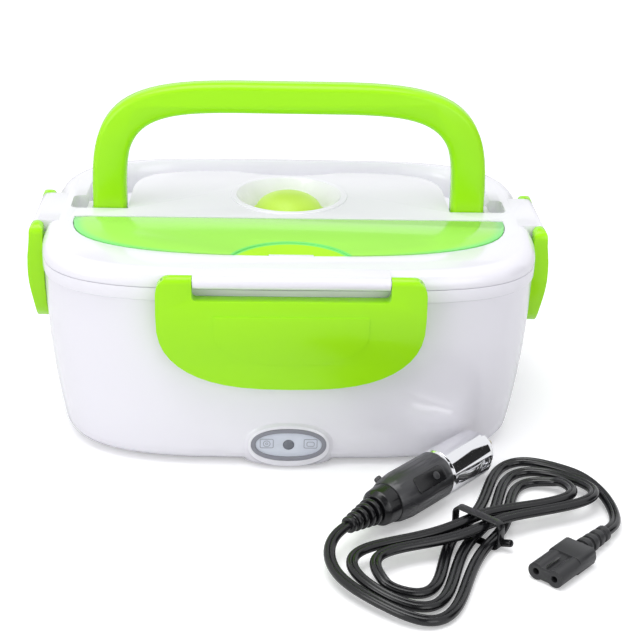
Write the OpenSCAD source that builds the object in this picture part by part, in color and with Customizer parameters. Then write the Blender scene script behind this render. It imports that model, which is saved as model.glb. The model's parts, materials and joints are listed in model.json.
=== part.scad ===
// Electric lunch box with its car lead. Millimetres, +Z up, +X right, +Y back.
// The origin is on the table, under the middle of the box.

/* [Overall] */
// Length of the lid and of the rim band, side to side
lid_length = 214.2; // [211:0.2:217]
// Depth of the lid and of the rim band, front to back
lid_depth = 158; // [156:1:162]
// Height of the lid's flat top above the table
top_height = 90.5; // [88:0.5:96]
// Squareness of the plan outline, 2 is an ellipse
plan_power = 4.2; // [3.8:0.1:4.6]

/* [Case] */
// Length of the case where its bottom edge starts to round
base_length = 202; // [198:1:206]
// Depth of the case where its bottom edge starts to round
base_depth = 152; // [150:1:153]
// Squareness of the plan outline at the bottom
base_power = 3.8; // [3.4:0.1:4]
// Radius of the rounded bottom edge
base_round = 8; // [6:0.5:9]
// Height of the raised band round the mouth
band_height = 5.5; // [4.5:0.5:7]
// How far the band stands out from the wall
band_step = 0.7; // [0.5:0.1:1]
// Wall thickness of the case
case_wall = 2.4; // [2:0.1:2.6]
// Height of the rubber feet
foot_height = 1.5; // [1:0.1:2.5]
// Radius of the rubber feet
foot_radius = 6; // [5:0.5:7]

/* [Heating well] */
// Height of the well's floor above the table
well_floor = 19; // [18:0.5:22]
// Wall thickness of the well, tray and lid liner
liner_wall = 1.4; // [1.2:0.1:1.6]
// Length of the aluminium heating plate
heater_length = 140; // [120:1:150]
// Depth of the aluminium heating plate
heater_depth = 84; // [70:1:90]
// Thickness of the heating plate
heater_plate_t = 1.5; // [1:0.1:2]

/* [Lid] */
// Height of the lid's side, from the parting line to the flat top
lid_edge = 7; // [6.5:0.1:8]
// Radius of the rounded top edge
lid_round = 6; // [4:0.5:6]
// Wall thickness of the lid
lid_wall = 2; // [1.6:0.1:2.2]
// Half length of the handle recess over its pivot pockets
recess_half = 98; // [95:0.5:98]
// Front edge of the handle recess, measured from the middle of the box
recess_front = -1.6; // [-3:0.1:-1]
// Radius of the vent dish's flat ring
dish_radius = 27; // [24:0.5:27]
// Depth of the vent dish
dish_depth = 8.5; // [7:0.5:9]
// Distance of the vent from the middle of the box
vent_y = 19.2; // [18:0.2:21]
// Radius of the steam bore
vent_bore = 3; // [2:0.5:4]

/* [Handle] */
// Width over the handle's legs
handle_span = 176.2; // [172:0.2:178]
// Height of the handle's top above the lid
handle_rise = 57; // [54:0.5:57.5]
// Width of each leg
leg_width = 15; // [13:0.5:16]
// Height of the grip's section
grip_height = 13.3; // [12:0.1:14]
// Thickness of the handle, front to back
handle_t = 11; // [9:0.5:11.5]
// Depth of the pivots below the lid's top
pivot_drop = 7.5; // [7:0.1:8]
// Distance of the pivots from the middle of the box
pivot_y = 4.5; // [4:0.1:5]
// Radius of the pivot pins
pivot_pin = 2.4; // [1.5:0.1:3]

/* [Spoon compartment] */
// Length of the translucent cover
cover_length = 189; // [182:1:191]
// Depth of the translucent cover
cover_depth = 46; // [43:0.5:47]
// Rear edge of the cover, measured from the middle of the box
cover_rear = -12.4; // [-13:0.1:-12]
// Thickness of the cover
cover_t = 1.8; // [1.4:0.1:2]
// Depth of the pan under the cover
pan_depth = 12; // [10:0.5:12.5]
// Length of the spoon
spoon_length = 148; // [130:1:156]

/* [Latches] */
// Width of the front and back latches
latch_width = 109.6; // [100:1:116]
// Width of the side latches
side_latch_width = 52; // [46:1:56]
// Height of a latch below its pivot
latch_drop = 46.6; // [42:0.2:50]
// Radius of the rounded top of a latch, about its pivot
latch_round = 2.9; // [2.7:0.1:3.2]
// Width of each horn of the front and back latches
horn_width = 14.6; // [12:0.2:16]
// Width of each horn of the side latches
side_horn_width = 7.2; // [6:0.2:9]
// How far a latch's face stands out beyond its rounded top
latch_bulge = 1.3; // [0.8:0.1:1.6]
// How far the face draws in again towards its lower edge
latch_taper = 1.9; // [1.4:0.1:2.2]
// Radius of the latch pins
latch_pin = 1.25; // [1:0.05:1.5]

/* [Lamp] */
// Length of the oval lamp bezel
bezel_length = 32; // [28:0.5:36]
// Height of the oval lamp bezel
bezel_height = 15.2; // [13:0.2:16]
// Height of the bezel's middle above the table
bezel_z = 12.2; // [11:0.2:13]
// Radius of the lamp lens
lens_radius = 2.4; // [1.5:0.1:3]

/* [Tray] */
// Height of the food tray
tray_height = 49.5; // [40:0.5:50]
// Middle of the wall between the two food compartments
divider_x = 20; // [0:1:30]
// Depth of the lift-out dish
dish_height = 30; // [20:1:40]

/* [Lead] */
// Diameter of the cord
cord_d = 4.6; // [4:0.1:5]
// Length of the car plug's metal shell
shell_length = 30; // [26:1:32]
// Radius of the car plug's metal shell
shell_radius = 10.3; // [9:0.1:10.4]

/* [Hidden] */

$fn = 48;
ring_count = 64;
fit = 0.3;
pin_fit = 0.15;
eps = 0.01;

half_x = lid_length / 2;
half_y = lid_depth / 2;
base_x = base_length / 2;
base_y = base_depth / 2;
seam_z = top_height - lid_edge;
rim_z = seam_z - fit;
band_z = seam_z - band_height;
round_top_z = foot_height + base_round;

// ---------------------------------------------------------------- outlines

function signed_power(v, e) = sign(v) * pow(abs(v), e);

// The angle of point i on a superellipse, between even steps round it and even turns of its edge
function oval_angle(i, a, b, power) =
    let (
        even = 360 * i / ring_count,
        e = power / (2 * power - 2),
        turn = atan2(signed_power(b * sin(even), e), signed_power(a * cos(even), e))
    )
        0.35 * even + 0.65 * (turn < 0 ? turn + 360 : turn);

// A superellipse with half sizes a and b
function oval(a, b, power = plan_power, y = 0, x = 0) = [
    for (i = [0:ring_count - 1])
        let (t = oval_angle(i, a, b, power))
            [x + a * signed_power(cos(t), 2 / power), y + b * signed_power(sin(t), 2 / power)]
];

// The lid's outline, drawn in by an inset
function rim_outline(inset) = oval(half_x - inset, half_y - inset);

function mix(a, b, t) = a + (b - a) * t;
function ease(t) = t <= 0 ? 0 : t >= 1 ? 1 : t * t * (3 - 2 * t);

// Half sizes of the case wall at a height; it swells outwards, most of all low down
function draft(z) =
    let (left = (band_z - z) / (band_z - round_top_z))
        1 - left * abs(left);
function case_x(z) = mix(base_x, half_x - band_step, draft(z));
function case_y(z) = mix(base_y, half_y - band_step, draft(z));
function case_power(z) = mix(base_power, plan_power, draft(z));
function case_outline(z, inset) = oval(case_x(z) - inset, case_y(z) - inset, case_power(z));

// A closed solid through outlines of equal count, one at each height
module loft(outlines, heights) {
    count = len(outlines[0]);
    last = len(outlines) - 1;
    points = [for (k = [0:last]) for (p = outlines[k]) [p[0], p[1], heights[k]]];
    sides = [
        for (k = [0:last - 1]) for (i = [0:count - 1])
            let (a = k * count + i, b = k * count + (i + 1) % count)
                each [[a, a + count, b], [b, a + count, b + count]]
    ];
    floor_face = [for (i = [0:count - 1]) i];
    top_face = [for (i = [count - 1:-1:0]) last * count + i];
    polyhedron(points, concat([floor_face, top_face], sides));
}

function unit(v) = v / norm(v);
function heading(p, i) = unit(p[min(i + 1, len(p) - 1)] - p[max(i - 1, 0)]);

// A tube of even sides along a route; no stretch of it may run along the upright direction given
module tube(route, radius, sides, upright = [0, 0, 1]) {
    last = len(route) - 1;
    points = [
        for (i = [0:last])
            let (t = heading(route, i), a = unit(cross(upright, t)), b = cross(t, a))
                for (j = [0:sides - 1])
                    route[i] + radius * (cos(360 * j / sides) * a + sin(360 * j / sides) * b)
    ];
    faces = [
        for (i = [0:last - 1]) for (j = [0:sides - 1])
            let (p = i * sides + j, q = i * sides + (j + 1) % sides)
                each [[p, p + sides, q], [q, p + sides, q + sides]]
    ];
    polyhedron(points, concat(
        [[for (j = [0:sides - 1]) j]], [[for (j = [sides - 1:-1:0]) last * sides + j]], faces
    ));
}

module ring(outer, inner, z, height) {
    translate([0, 0, z])
        linear_extrude(height)
            difference() {
                polygon(outer);
                polygon(inner);
            }
}

module plate(outline, z, height) {
    translate([0, 0, z])
        linear_extrude(height)
            polygon(outline);
}

module rod_x(radius, from, to) {
    translate([from, 0, 0])
        rotate([0, 90, 0])
            cylinder(r = radius, h = to - from);
}

module box(low, high) {
    translate(low)
        cube(high - low);
}

module rounded_square(size, radius) {
    square([size[0] - 2 * radius, size[1]], center = true);
    square([size[0], size[1] - 2 * radius], center = true);
    for (x = [-1, 1], y = [-1, 1])
        translate([x * (size[0] / 2 - radius), y * (size[1] / 2 - radius)])
            circle(radius);
}

// ---------------------------------------------------------------- the case

ledge_z = seam_z - 4.5;
flange_inset = case_wall + 0.4;
mouth_inset = 5.6;
well_inset = mouth_inset - liner_wall;
recess_wall = 1.2;
base_opening_inset = 16;
lamp_boss_out = 2.2;
lamp_boss_rim = 1.6;
lamp_boss_top = bezel_z + bezel_height / 2 + lamp_boss_rim;
lamp_boss_y = base_y + lamp_boss_out;
inlet_z = 12.2;
inlet_half = [8.6, 4.7];
inlet_flange = 1.5;
inlet_y = case_y(inlet_z);

wall_heights = [for (t = [0, 0.15, 0.32, 0.52, 0.75]) mix(round_top_z, band_z, t)];

module case_skin() {
    steps = [0, 22.5, 45, 67.5];
    low = [for (t = steps) oval(base_x - base_round * (1 - sin(t)), base_y - base_round * (1 - sin(t)), base_power)];
    low_z = [for (t = steps) foot_height + base_round * (1 - cos(t))];
    wall_z = concat(wall_heights, [band_z - 0.6]);
    loft(
        concat(low, [for (z = wall_z) case_outline(z, 0)], [rim_outline(0), rim_outline(0)]),
        concat(low_z, wall_z, [band_z, rim_z])
    );
}

module outer_case() {
    color("white")
        difference() {
            union() {
                case_skin();
                lamp_boss_skin();
            }
            case_inside();
            plate(oval(base_x - base_opening_inset + 4, base_y - base_opening_inset + 4, base_power),
                foot_height - 1, 2.2);
            plate(rim_outline(flange_inset - 0.3), ledge_z + 2, 10);
            lamp_pocket();
            inlet_hole();
        }
}

module case_inside() {
    opening = oval(base_x - base_opening_inset, base_y - base_opening_inset, base_power);
    walls = concat(wall_heights, [ledge_z - 3]);
    loft(
        concat(
            [opening, opening], [for (z = walls) case_outline(z, case_wall)],
            [rim_outline(well_inset - fit), rim_outline(well_inset - fit)]
        ),
        concat([foot_height - 1, foot_height + case_wall], walls, [ledge_z, ledge_z + 2.2])
    );
}

// The oval boss that carries the lamp, low on the front; it reaches down to the case's bottom
module lamp_boss_skin() {
    intersection() {
        translate([0, -lamp_boss_y, (lamp_boss_top + foot_height) / 2])
            rotate([-90, 0, 0])
                boss_loft();
        box([-60, -lamp_boss_y - 1, foot_height], [60, -base_y + 8, 60]);
    }
}

module boss_loft() {
    grows = [-1, -0.3, 0, 2, 5];
    depths = [0, 0.4, 1, lamp_boss_out + 0.8, lamp_boss_out + 4];
    half_height = (lamp_boss_top - foot_height) / 2;
    loft([for (g = grows) oval(bezel_length / 2 + lamp_boss_rim + g, half_height + g, 2.2)], depths);
}

module lamp_pocket() {
    translate([0, -lamp_boss_y - 1, bezel_z])
        rotate([-90, 0, 0]) {
            linear_extrude(2.4)
                polygon(oval(bezel_length / 2 + 0.05, bezel_height / 2 + 0.05, 2.2));
            linear_extrude(14)
                polygon(oval(bezel_length / 2 - 3, bezel_height / 2 - 2.6, 2.2));
        }
}

module inlet_hole() {
    translate([0, inlet_y - 14, inlet_z])
        rotate([-90, 0, 0]) {
            linear_extrude(20)
                rounded_square([2 * inlet_half[0] + 0.2, 2 * inlet_half[1] + 0.2], 3);
            translate([0, 0, 14])
                linear_extrude(6)
                    rounded_square([2 * inlet_half[0] + 2 * inlet_flange + 0.2, 2 * inlet_half[1] + 2 * inlet_flange + 0.2], 4);
        }
}

well_top = rim_z - 0.2;
post_x = 66;
post_y = 42;
post_radius = 3.4;
post_hole = 1.25;
cover_z = foot_height + 0.1;
cover_top = foot_height + 1.2;

// The well's wall stands upright from just below the lid's liner
function well_outline(z, inset) =
    let (t = min(1, (z - well_floor) / (liner_floor - 1 - well_floor)))
        oval(
            mix(base_x - 7, half_x - well_inset, t) - inset,
            mix(base_y - 6.4, half_y - well_inset, t) - inset,
            mix(base_power, plan_power, t)
        );

module well_form(inset) {
    solid = inset == 0;
    loft(
        [
            well_outline(well_floor, inset + 5), well_outline(well_floor + 4, inset),
            well_outline(liner_floor - 1, inset), well_outline(well_top, inset)
        ],
        [well_floor - (solid ? liner_wall : 0), well_floor + 4, liner_floor - 1, well_top + (solid ? 0 : 1)]
    );
}

module inner_well() {
    color("whitesmoke")
        difference() {
            union() {
                well_form(0);
                ring(rim_outline(flange_inset), rim_outline(mouth_inset), ledge_z + 2.3, well_top - ledge_z - 2.3);
                for (x = [-post_x, post_x], y = [-post_y, post_y])
                    translate([x, y, cover_top + 0.05])
                        cylinder(r = post_radius, h = well_floor - cover_top);
            }
            well_form(liner_wall);
            for (x = [-post_x, post_x], y = [-post_y, post_y])
                translate([x, y, 0])
                    cylinder(r = post_hole, h = 12);
            box(
                [-heater_length / 2 + 4, -heater_depth / 2 + 4, well_floor - 4],
                [heater_length / 2 - 4, heater_depth / 2 - 4, well_floor + 4]
            );
        }
}

module bottom_cover() {
    color("white")
        difference() {
            plate(oval(base_x - base_opening_inset + 3.7, base_y - base_opening_inset + 3.7, base_power),
                cover_z, cover_top - cover_z);
            for (x = [-post_x, post_x], y = [-post_y, post_y])
                translate([x, y, 0])
                    cylinder(r = 1.7, h = 12);
            for (i = [-4:4])
                translate([i * 6, 0, foot_height])
                    linear_extrude(8, center = true)
                        rounded_square([2, 26], 0.9);
        }
}

foot_x = 76;
foot_y = 48;

module feet() {
    color("dimgray")
        for (x = [-foot_x, foot_x], y = [-foot_y, foot_y])
            translate([x, y, 0]) {
                rotate_extrude()
                    polygon([[0, 0], [foot_radius - 0.6, 0], [foot_radius, 0.6], [foot_radius, foot_height], [0, foot_height]]);
            }
}

module base_screws() {
    color("silver")
        for (x = [-post_x, post_x], y = [-post_y, post_y])
            translate([x, y, 0]) {
                translate([0, 0, cover_z - 1.1])
                    difference() {
                        cylinder(r = 2.6, h = 1.1);
                        translate([0, 0, -0.1])
                            linear_extrude(0.7) {
                                square([3.2, 0.7], center = true);
                                square([0.7, 3.2], center = true);
                            }
                    }
                translate([0, 0, cover_z])
                    cylinder(r = post_hole - 0.03, h = 8);
            }
}

// ---------------------------------------------------------------- heating

plate_z = well_floor;
ptc_half = [30, 10];
ptc_t = 4;
clamp_x = 44;

module heater_plate() {
    color("silver")
        difference() {
            union() {
                translate([0, 0, plate_z + 0.05])
                    linear_extrude(heater_plate_t)
                        rounded_square([heater_length, heater_depth], 10);
                for (x = [-clamp_x, clamp_x])
                    translate([x, 0, plate_z - 6])
                        cylinder(r = 2.6, h = 6.1);
            }
            for (x = [-clamp_x, clamp_x])
                translate([x, 0, plate_z - 7])
                    cylinder(r = 1.2, h = 6);
        }
}

module ptc_heater() {
    color("goldenrod")
        box([-ptc_half[0], -ptc_half[1], plate_z - ptc_t], [ptc_half[0], ptc_half[1], plate_z]);
}

module heater_clamp() {
    color("silver") {
        difference() {
            union() {
                box([-clamp_x - 5, -5, plate_z - 7.2], [-ptc_half[0] - 3, 5, plate_z - 6.1]);
                box([-ptc_half[0] - 4.1, -5, plate_z - 7.2], [-ptc_half[0] - 3, 5, plate_z - ptc_t - 0.1]);
                box([-ptc_half[0] - 4.1, -5, plate_z - ptc_t - 1.2], [ptc_half[0] + 4.1, 5, plate_z - ptc_t - 0.1]);
                box([ptc_half[0] + 3, -5, plate_z - 7.2], [ptc_half[0] + 4.1, 5, plate_z - ptc_t - 0.1]);
                box([ptc_half[0] + 3, -5, plate_z - 7.2], [clamp_x + 5, 5, plate_z - 6.1]);
            }
            for (x = [-clamp_x, clamp_x])
                translate([x, 0, plate_z - 8])
                    cylinder(r = 1.5, h = 4);
        }
        for (x = [-clamp_x, clamp_x])
            translate([x, 0, plate_z - 7.25]) {
                translate([0, 0, -1.4])
                    cylinder(r = 2.3, h = 1.4);
                cylinder(r = 1.15, h = 5.5);
            }
    }
}

thermostat_y = 24;

module thermostat() {
    color("ivory")
        translate([0, thermostat_y, plate_z - 6.5]) {
            cylinder(r = 8, h = 6.5);
            for (x = [-1, 1])
                box([x * 11 - 2.5, -2, 2], [x * 11 + 2.5, 2, 2.8]);
            box([-9, -2, 1.6], [9, 2, 3.2]);
        }
}

// ---------------------------------------------------------------- lamp

bezel_t = 1.6;
badge_inset = 1.9;
bezel_front = -lamp_boss_y - 0.4;

module lamp_layer(front, depth, a, b) {
    translate([0, front, bezel_z])
        rotate([-90, 0, 0])
            linear_extrude(depth)
                difference() {
                    polygon(oval(a, b, 2.2));
                    children();
                }
}

module lamp_bezel() {
    color("gray")
        lamp_layer(bezel_front, bezel_t, bezel_length / 2, bezel_height / 2)
            polygon(oval(bezel_length / 2 - badge_inset, bezel_height / 2 - badge_inset, 2.2));
}

module lamp_badge() {
    color("lightsteelblue")
        lamp_layer(bezel_front + 0.5, bezel_t - 0.5,
            bezel_length / 2 - badge_inset - 0.03, bezel_height / 2 - badge_inset - 0.03)
            circle(lens_radius + 0.03);
}

module lamp_lens() {
    color("slategray")
        translate([0, bezel_front + 0.1, bezel_z])
            rotate([-90, 0, 0])
                rotate_extrude()
                    polygon([
                        [0, 0], [lens_radius * 0.6, 0.12], [lens_radius, 0.6], [lens_radius, bezel_t + 0.2],
                        [lens_radius - 0.4, bezel_t + 3], [0, bezel_t + 3]
                    ]);
}

module indicator_led() {
    color("orangered")
        translate([0, bezel_front + bezel_t + 3.4, bezel_z])
            rotate([-90, 0, 0]) {
                cylinder(r = 1.5, h = 3.5);
                translate([0, 0, 3.5])
                    cylinder(r = 1.9, h = 0.8);
                translate([0, 0, 4.3])
                    linear_extrude(1.2)
                        rounded_square([14, 8], 0.8);
            }
}

// ---------------------------------------------------------------- power inlet

inlet_depth = 14;
figure_eight = 4.1;
inlet_pin = 1.2;
inlet_shank = 0.9;
pin_length = 7;
socket_depth = 10;
pin_back = inlet_y + 0.8 - inlet_depth - 3;
pin_foot = inlet_y + 0.8 - socket_depth + 0.5;

module figure_eight_outline(grow) {
    for (x = [-1, 1])
        translate([x * figure_eight, 0])
            circle(3.7 + grow);
    square([2 * figure_eight, 2 * (2.9 + grow)], center = true);
}

module power_inlet() {
    color("dimgray")
        translate([0, inlet_y + 0.8, inlet_z])
            rotate([90, 0, 0])
                difference() {
                    union() {
                        linear_extrude(inlet_depth)
                            rounded_square([2 * inlet_half[0], 2 * inlet_half[1]], 3);
                        linear_extrude(0.8 - 0.05)
                            rounded_square([2 * inlet_half[0] + 2 * inlet_flange, 2 * inlet_half[1] + 2 * inlet_flange], 4);
                    }
                    translate([0, 0, -1])
                        linear_extrude(socket_depth + 1)
                            figure_eight_outline(0);
                    for (x = [-1, 1])
                        translate([x * figure_eight, 0, 0])
                            cylinder(r = inlet_shank + 0.02, h = inlet_depth + 1);
                }
}

module inlet_pins() {
    color("gold")
        translate([0, pin_back, inlet_z])
            rotate([-90, 0, 0])
                for (x = [-1, 1])
                    translate([x * figure_eight, 0, 0]) {
                        cylinder(r = inlet_shank, h = pin_foot - pin_back + 0.1);
                        translate([0, 0, pin_foot - pin_back])
                            rotate_extrude()
                                polygon([
                                    [0, 0], [inlet_pin, 0], [inlet_pin, pin_length], [0.7, pin_length + 1], [0, pin_length + 1]
                                ]);
                    }
}

wire_radius = 0.9;
wire_z = plate_z - 9;

// A wire through points, with each inner corner cut off
module wire(points) {
    last = len(points) - 1;
    bend = 1.6;
    route = [
        for (i = [0:last])
            each i == 0 || i == last
                ? [points[i]]
                : [
                    points[i] + bend * unit(points[i - 1] - points[i]),
                    points[i] + bend * unit(points[i + 1] - points[i])
                ]
    ];
    tube(route, wire_radius, 8, [1, 1, 1]);
}

module wiring() {
    color("firebrick") {
        wire([
            [-figure_eight, pin_back - 0.1, inlet_z], [-figure_eight, pin_back - 4, inlet_z],
            [-14, thermostat_y + 16, wire_z], [-14, thermostat_y, wire_z],
            [-11, thermostat_y, wire_z], [-11, thermostat_y, plate_z - 4.6]
        ]);
        wire([
            [figure_eight, pin_back - 0.1, inlet_z], [figure_eight, pin_back - 4, inlet_z],
            [34, thermostat_y + 14, wire_z], [34, 8, wire_z], [34, 8, plate_z - 2], [30.1, 8, plate_z - 2]
        ]);
        wire([
            [11, thermostat_y, plate_z - 4.6], [11, thermostat_y, wire_z], [20, 14, wire_z],
            [20, 12.5, wire_z], [20, 12.5, plate_z - 2], [20, 10.1, plate_z - 2]
        ]);
        for (x = [-5, 5])
            wire([
                [x, bezel_front + bezel_t + 8.95, bezel_z], [x, bezel_front + bezel_t + 14, bezel_z],
                [x * 2, -14, wire_z], [x * 2, -14, plate_z - 2], [x * 2, -10.1, plate_z - 2]
            ]);
    }
}

// ---------------------------------------------------------------- the lid

pivot_z = top_height - pivot_drop;
handle_half = handle_span / 2;
handle_up = top_height + handle_rise - pivot_z;
grip_up = handle_up - grip_height;
recess_floor = pivot_z - handle_t / 2 - 0.7;
recess_back = pivot_y + handle_up + 0.6;
channel_half = handle_half + 2.4;
recess_power = 4.5;
pocket_back = pivot_y + handle_t / 2 + 5.5;
pocket_floor = pivot_z - 3;
pocket_inner = 80;
plateau_half = handle_half - leg_width - 0.7;
plateau_depth = grip_up - 1.8;
plateau_power = 5;
liner_floor = recess_floor - lid_wall - liner_wall - 0.2;
scoop_floor = pivot_z - 3.2;
ear_x = handle_half + 0.5;
ear_t = 2.2;
dish_floor = top_height - dish_depth;
dish_inner = dish_radius - 2.7;
dish_foot = 17.6;

cover_x = cover_length / 2;
cover_power = 2.8;
pan_floor = top_height - pan_depth;
hinge_y = cover_rear - 2.3;
hinge_z = top_height - 1.7;
barrel = 2.1;
seat_z = hinge_z + barrel - cover_t - fit;
hinge_pin = 1.1;

latch_out = latch_round + fit;
front_pivot = half_y + latch_out;
side_pivot = half_x + latch_out;
latch_pivot_z = top_height - 2.7;
back_pivot_z = seam_z - 0.1;
horn_gap = 0.3;

// Front outline of the spoon compartment, with a straight rear edge
function cover_outline(inset, rear_inset) = [
    for (i = [0:32])
        let (t = 180 + 180 * i / 32, x = cover_x - inset, y = cover_depth - inset)
            [
                x * signed_power(cos(t), 2 / cover_power),
                min(cover_rear - rear_inset, cover_rear + y * signed_power(sin(t), 2 / cover_power))
            ]
];

module lid_skin(inset, top, low = seam_z) {
    steps = [0, 22.5, 45, 67.5, 90];
    r = max(lid_round - inset, 1);
    loft(
        concat([rim_outline(inset)], [for (t = steps) rim_outline(inset + r * (1 - cos(t)))]),
        concat([low], [for (t = steps) top - r * (1 - sin(t))])
    );
}

// The U-shaped recess that the folded handle drops into
module recess(grow) {
    difference() {
        intersection() {
            union() {
                loft(
                    [
                        oval(channel_half + grow, recess_back + grow, recess_power),
                        oval(channel_half + grow, recess_back + grow, recess_power),
                        oval(channel_half + 2.6 + grow, recess_back + 2.6 + grow, recess_power)
                    ],
                    [recess_floor - grow, pivot_z + 2, top_height + 0.5]
                );
                for (s = [-1, 1])
                    translate([s * (recess_half + pocket_inner) / 2, (recess_front + pocket_back) / 2, pocket_floor - grow])
                        linear_extrude(20)
                            rounded_square(
                                [recess_half - pocket_inner + 2 * grow, pocket_back - recess_front + 2 * grow], 3
                            );
            }
            box([-half_x, recess_front - grow, 0], [half_x, half_y, top_height + (grow > 0 ? -eps : 5)]);
        }
        difference() {
            plate(oval(plateau_half - grow, plateau_depth - grow, plateau_power, pivot_y), 0, top_height + 20);
            translate([0, pivot_y + plateau_depth + 52.4, scoop_floor - grow])
                cylinder(r = 58 + grow, h = 40, $fn = 96);
            box([-half_x, -half_y, -1], [half_x, recess_front - grow - 20, top_height + 30]);
        }
    }
}

module dish_cup(outer) {
    translate([0, vent_y, 0])
        rotate_extrude($fn = 96)
            polygon(outer);
}

// Carries one latch pin at the lid's edge; the local +Y axis points outwards
module boss(pivot, half, z) {
    low = max(z - latch_round + 0.2, seam_z + 0.1);
    high = z + latch_round - 0.2 - eps;
    wall = pivot - latch_out;
    difference() {
        union() {
            translate([0, pivot, z])
                rod_x(latch_round - 0.2, -half, half);
            box([-half, wall - lid_wall, low], [half, pivot, high]);
            if (z > top_height - lid_round)
                box([-half, wall - lid_round, top_height - lid_wall - 0.1], [half, wall, high]);
        }
        translate([0, pivot, z])
            rod_x(latch_pin + 0.03, -half - 1, half + 1);
    }
}

// The four sides: turn about Z, distance and height of the pivot, half width, horn width
SIDES = [
    [180, front_pivot, latch_pivot_z, latch_width / 2, horn_width],
    [0, front_pivot, back_pivot_z, latch_width / 2, horn_width],
    [90, side_pivot, latch_pivot_z, side_latch_width / 2, side_horn_width],
    [-90, side_pivot, latch_pivot_z, side_latch_width / 2, side_horn_width]
];

module lid_cover() {
    color("white")
        difference() {
            union() {
                difference() {
                    lid_skin(0, top_height);
                    lid_skin(lid_wall + 0.2, top_height - lid_wall, seam_z - 1);
                }
                intersection() {
                    recess(recess_wall);
                    plate(rim_outline(lid_round), 0, top_height);
                }
                plate(cover_outline(2.4, 4), pan_floor - lid_wall, pan_depth + lid_wall - eps);
                plate(cover_outline(-2, -2), seat_z - 4.2, top_height - seat_z + 4.2 - eps);
                dish_cup([
                    [0, dish_floor - lid_wall], [dish_foot + 2, dish_floor - lid_wall],
                    [dish_inner + 2, top_height - 1], [dish_radius, top_height - 1],
                    [dish_radius, top_height + 0.3], [dish_radius - 0.3, top_height + 0.6],
                    [dish_inner, top_height + 0.6], [0, top_height + 0.6]
                ]);
                translate([0, vent_y, liner_floor + liner_wall + 0.1])
                    cylinder(r = vent_bore + 2, h = dish_floor - liner_floor - liner_wall - 1);
                for (s = SIDES)
                    rotate(s[0])
                        boss(s[1], s[3] - s[4] - horn_gap, s[2]);
                for (s = [-1, 1])
                    box([s > 0 ? ear_x : -ear_x - ear_t, recess_front - 1, recess_floor - 1],
                        [s > 0 ? ear_x + ear_t : -ear_x, pivot_y + handle_t / 2 + 0.6, top_height - 1]);
            }
            recess_cut();
            difference() {
                plate(cover_outline(-0.4, -0.4), seat_z, 20);
                box([-notch_half + 0.4, cover_rear - cover_depth - 2, 0],
                    [notch_half - 0.4, cover_rear - cover_depth + notch_depth - 0.4, top_height - eps]);
            }
            plate(cover_outline(4.4, 6), pan_floor, pan_depth + 5);
            box([-cover_x + 4.6, hinge_y - barrel - 0.4, hinge_z - barrel - 0.4],
                [cover_x - 4.6, cover_rear + 0.4, top_height + 5]);
            dish_cup([
                [0, dish_floor], [dish_foot, dish_floor], [dish_inner, top_height + 0.7], [0, top_height + 0.7]
            ]);
            translate([0, vent_y, 0])
                cylinder(r = vent_bore, h = top_height);
            translate([0, pivot_y, pivot_z])
                rod_x(pivot_pin + 0.03, -ear_x - ear_t - 1, ear_x + ear_t + 1);
            translate([0, hinge_y, hinge_z])
                rod_x(hinge_pin + pin_fit, -cover_x - 1.5, cover_x + 1.5);
        }
}

module recess_cut() {
    difference() {
        recess(0);
        for (s = [-1, 1])
            box([s > 0 ? ear_x : -ear_x - ear_t, recess_front - 1, 0],
                [s > 0 ? ear_x + ear_t : -ear_x, pivot_y + handle_t / 2 + 0.6, top_height - 1]);
    }
}

liner_out = mouth_inset + 0.6;

module lid_liner() {
    color("whitesmoke")
        difference() {
            union() {
                loft(
                    [rim_outline(liner_out + 2), rim_outline(liner_out), rim_outline(liner_out)],
                    [liner_floor, liner_floor + 3, seam_z + 1.3]
                );
                plate(rim_outline(lid_wall + 0.6), seam_z + 1.2, 1.4);
            }
            loft(
                [rim_outline(liner_out + 2.6), rim_outline(liner_out + liner_wall), rim_outline(liner_out + liner_wall)],
                [liner_floor + liner_wall, liner_floor + 3.2, seam_z + 5]
            );
            translate([0, vent_y, 0])
                cylinder(r = vent_bore, h = 200);
        }
}

module lid_seal() {
    color("lightgray")
        ring(rim_outline(flange_inset + 0.4), rim_outline(liner_out - 0.1), rim_z + 0.1, seam_z + 1.15 - rim_z - 0.1);
}

dome_radius = 15.5;
dome_height = 9;

module vent_plug() {
    color("yellowgreen")
        translate([0, vent_y, dish_floor + 0.1])
            rotate_extrude($fn = 96)
                polygon(concat(
                    [[0, -5], [vent_bore - 0.4, -5], [vent_bore - 0.2, -4], [vent_bore - 0.2, 0]],
                    [[dish_foot - 0.4, 0], [dish_foot - 0.4, 0.8]],
                    [for (t = [0:7.5:90]) [dome_radius * cos(t), 0.8 + dome_height * sin(t)]]
                ));
}

// ---------------------------------------------------------------- handle

section_round = 2.6;

// Outer and inner curve of the handle, as heights above the pivot
function handle_outer(t) = [
    handle_half * signed_power(cos(t), 2 / 4.2), handle_up * signed_power(sin(t), 2 / 4.2)
];
function handle_inner(t) = [
    (handle_half - leg_width) * signed_power(cos(t), 2 / 5), grip_up * signed_power(sin(t), 2 / 5)
];

// Rounded rectangle: across from 0 to width, thick from -t/2 to t/2
function section(width, t) = [
    for (c = [[1, 1, 0], [0, 1, 90], [0, -1, 180], [1, -1, 270]]) for (a = [0, 45, 90])
        [
            (c[0] == 1 ? width - section_round : section_round) + section_round * cos(c[2] + a),
            c[1] * (t / 2 - section_round) + section_round * sin(c[2] + a)
        ]
];

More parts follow.
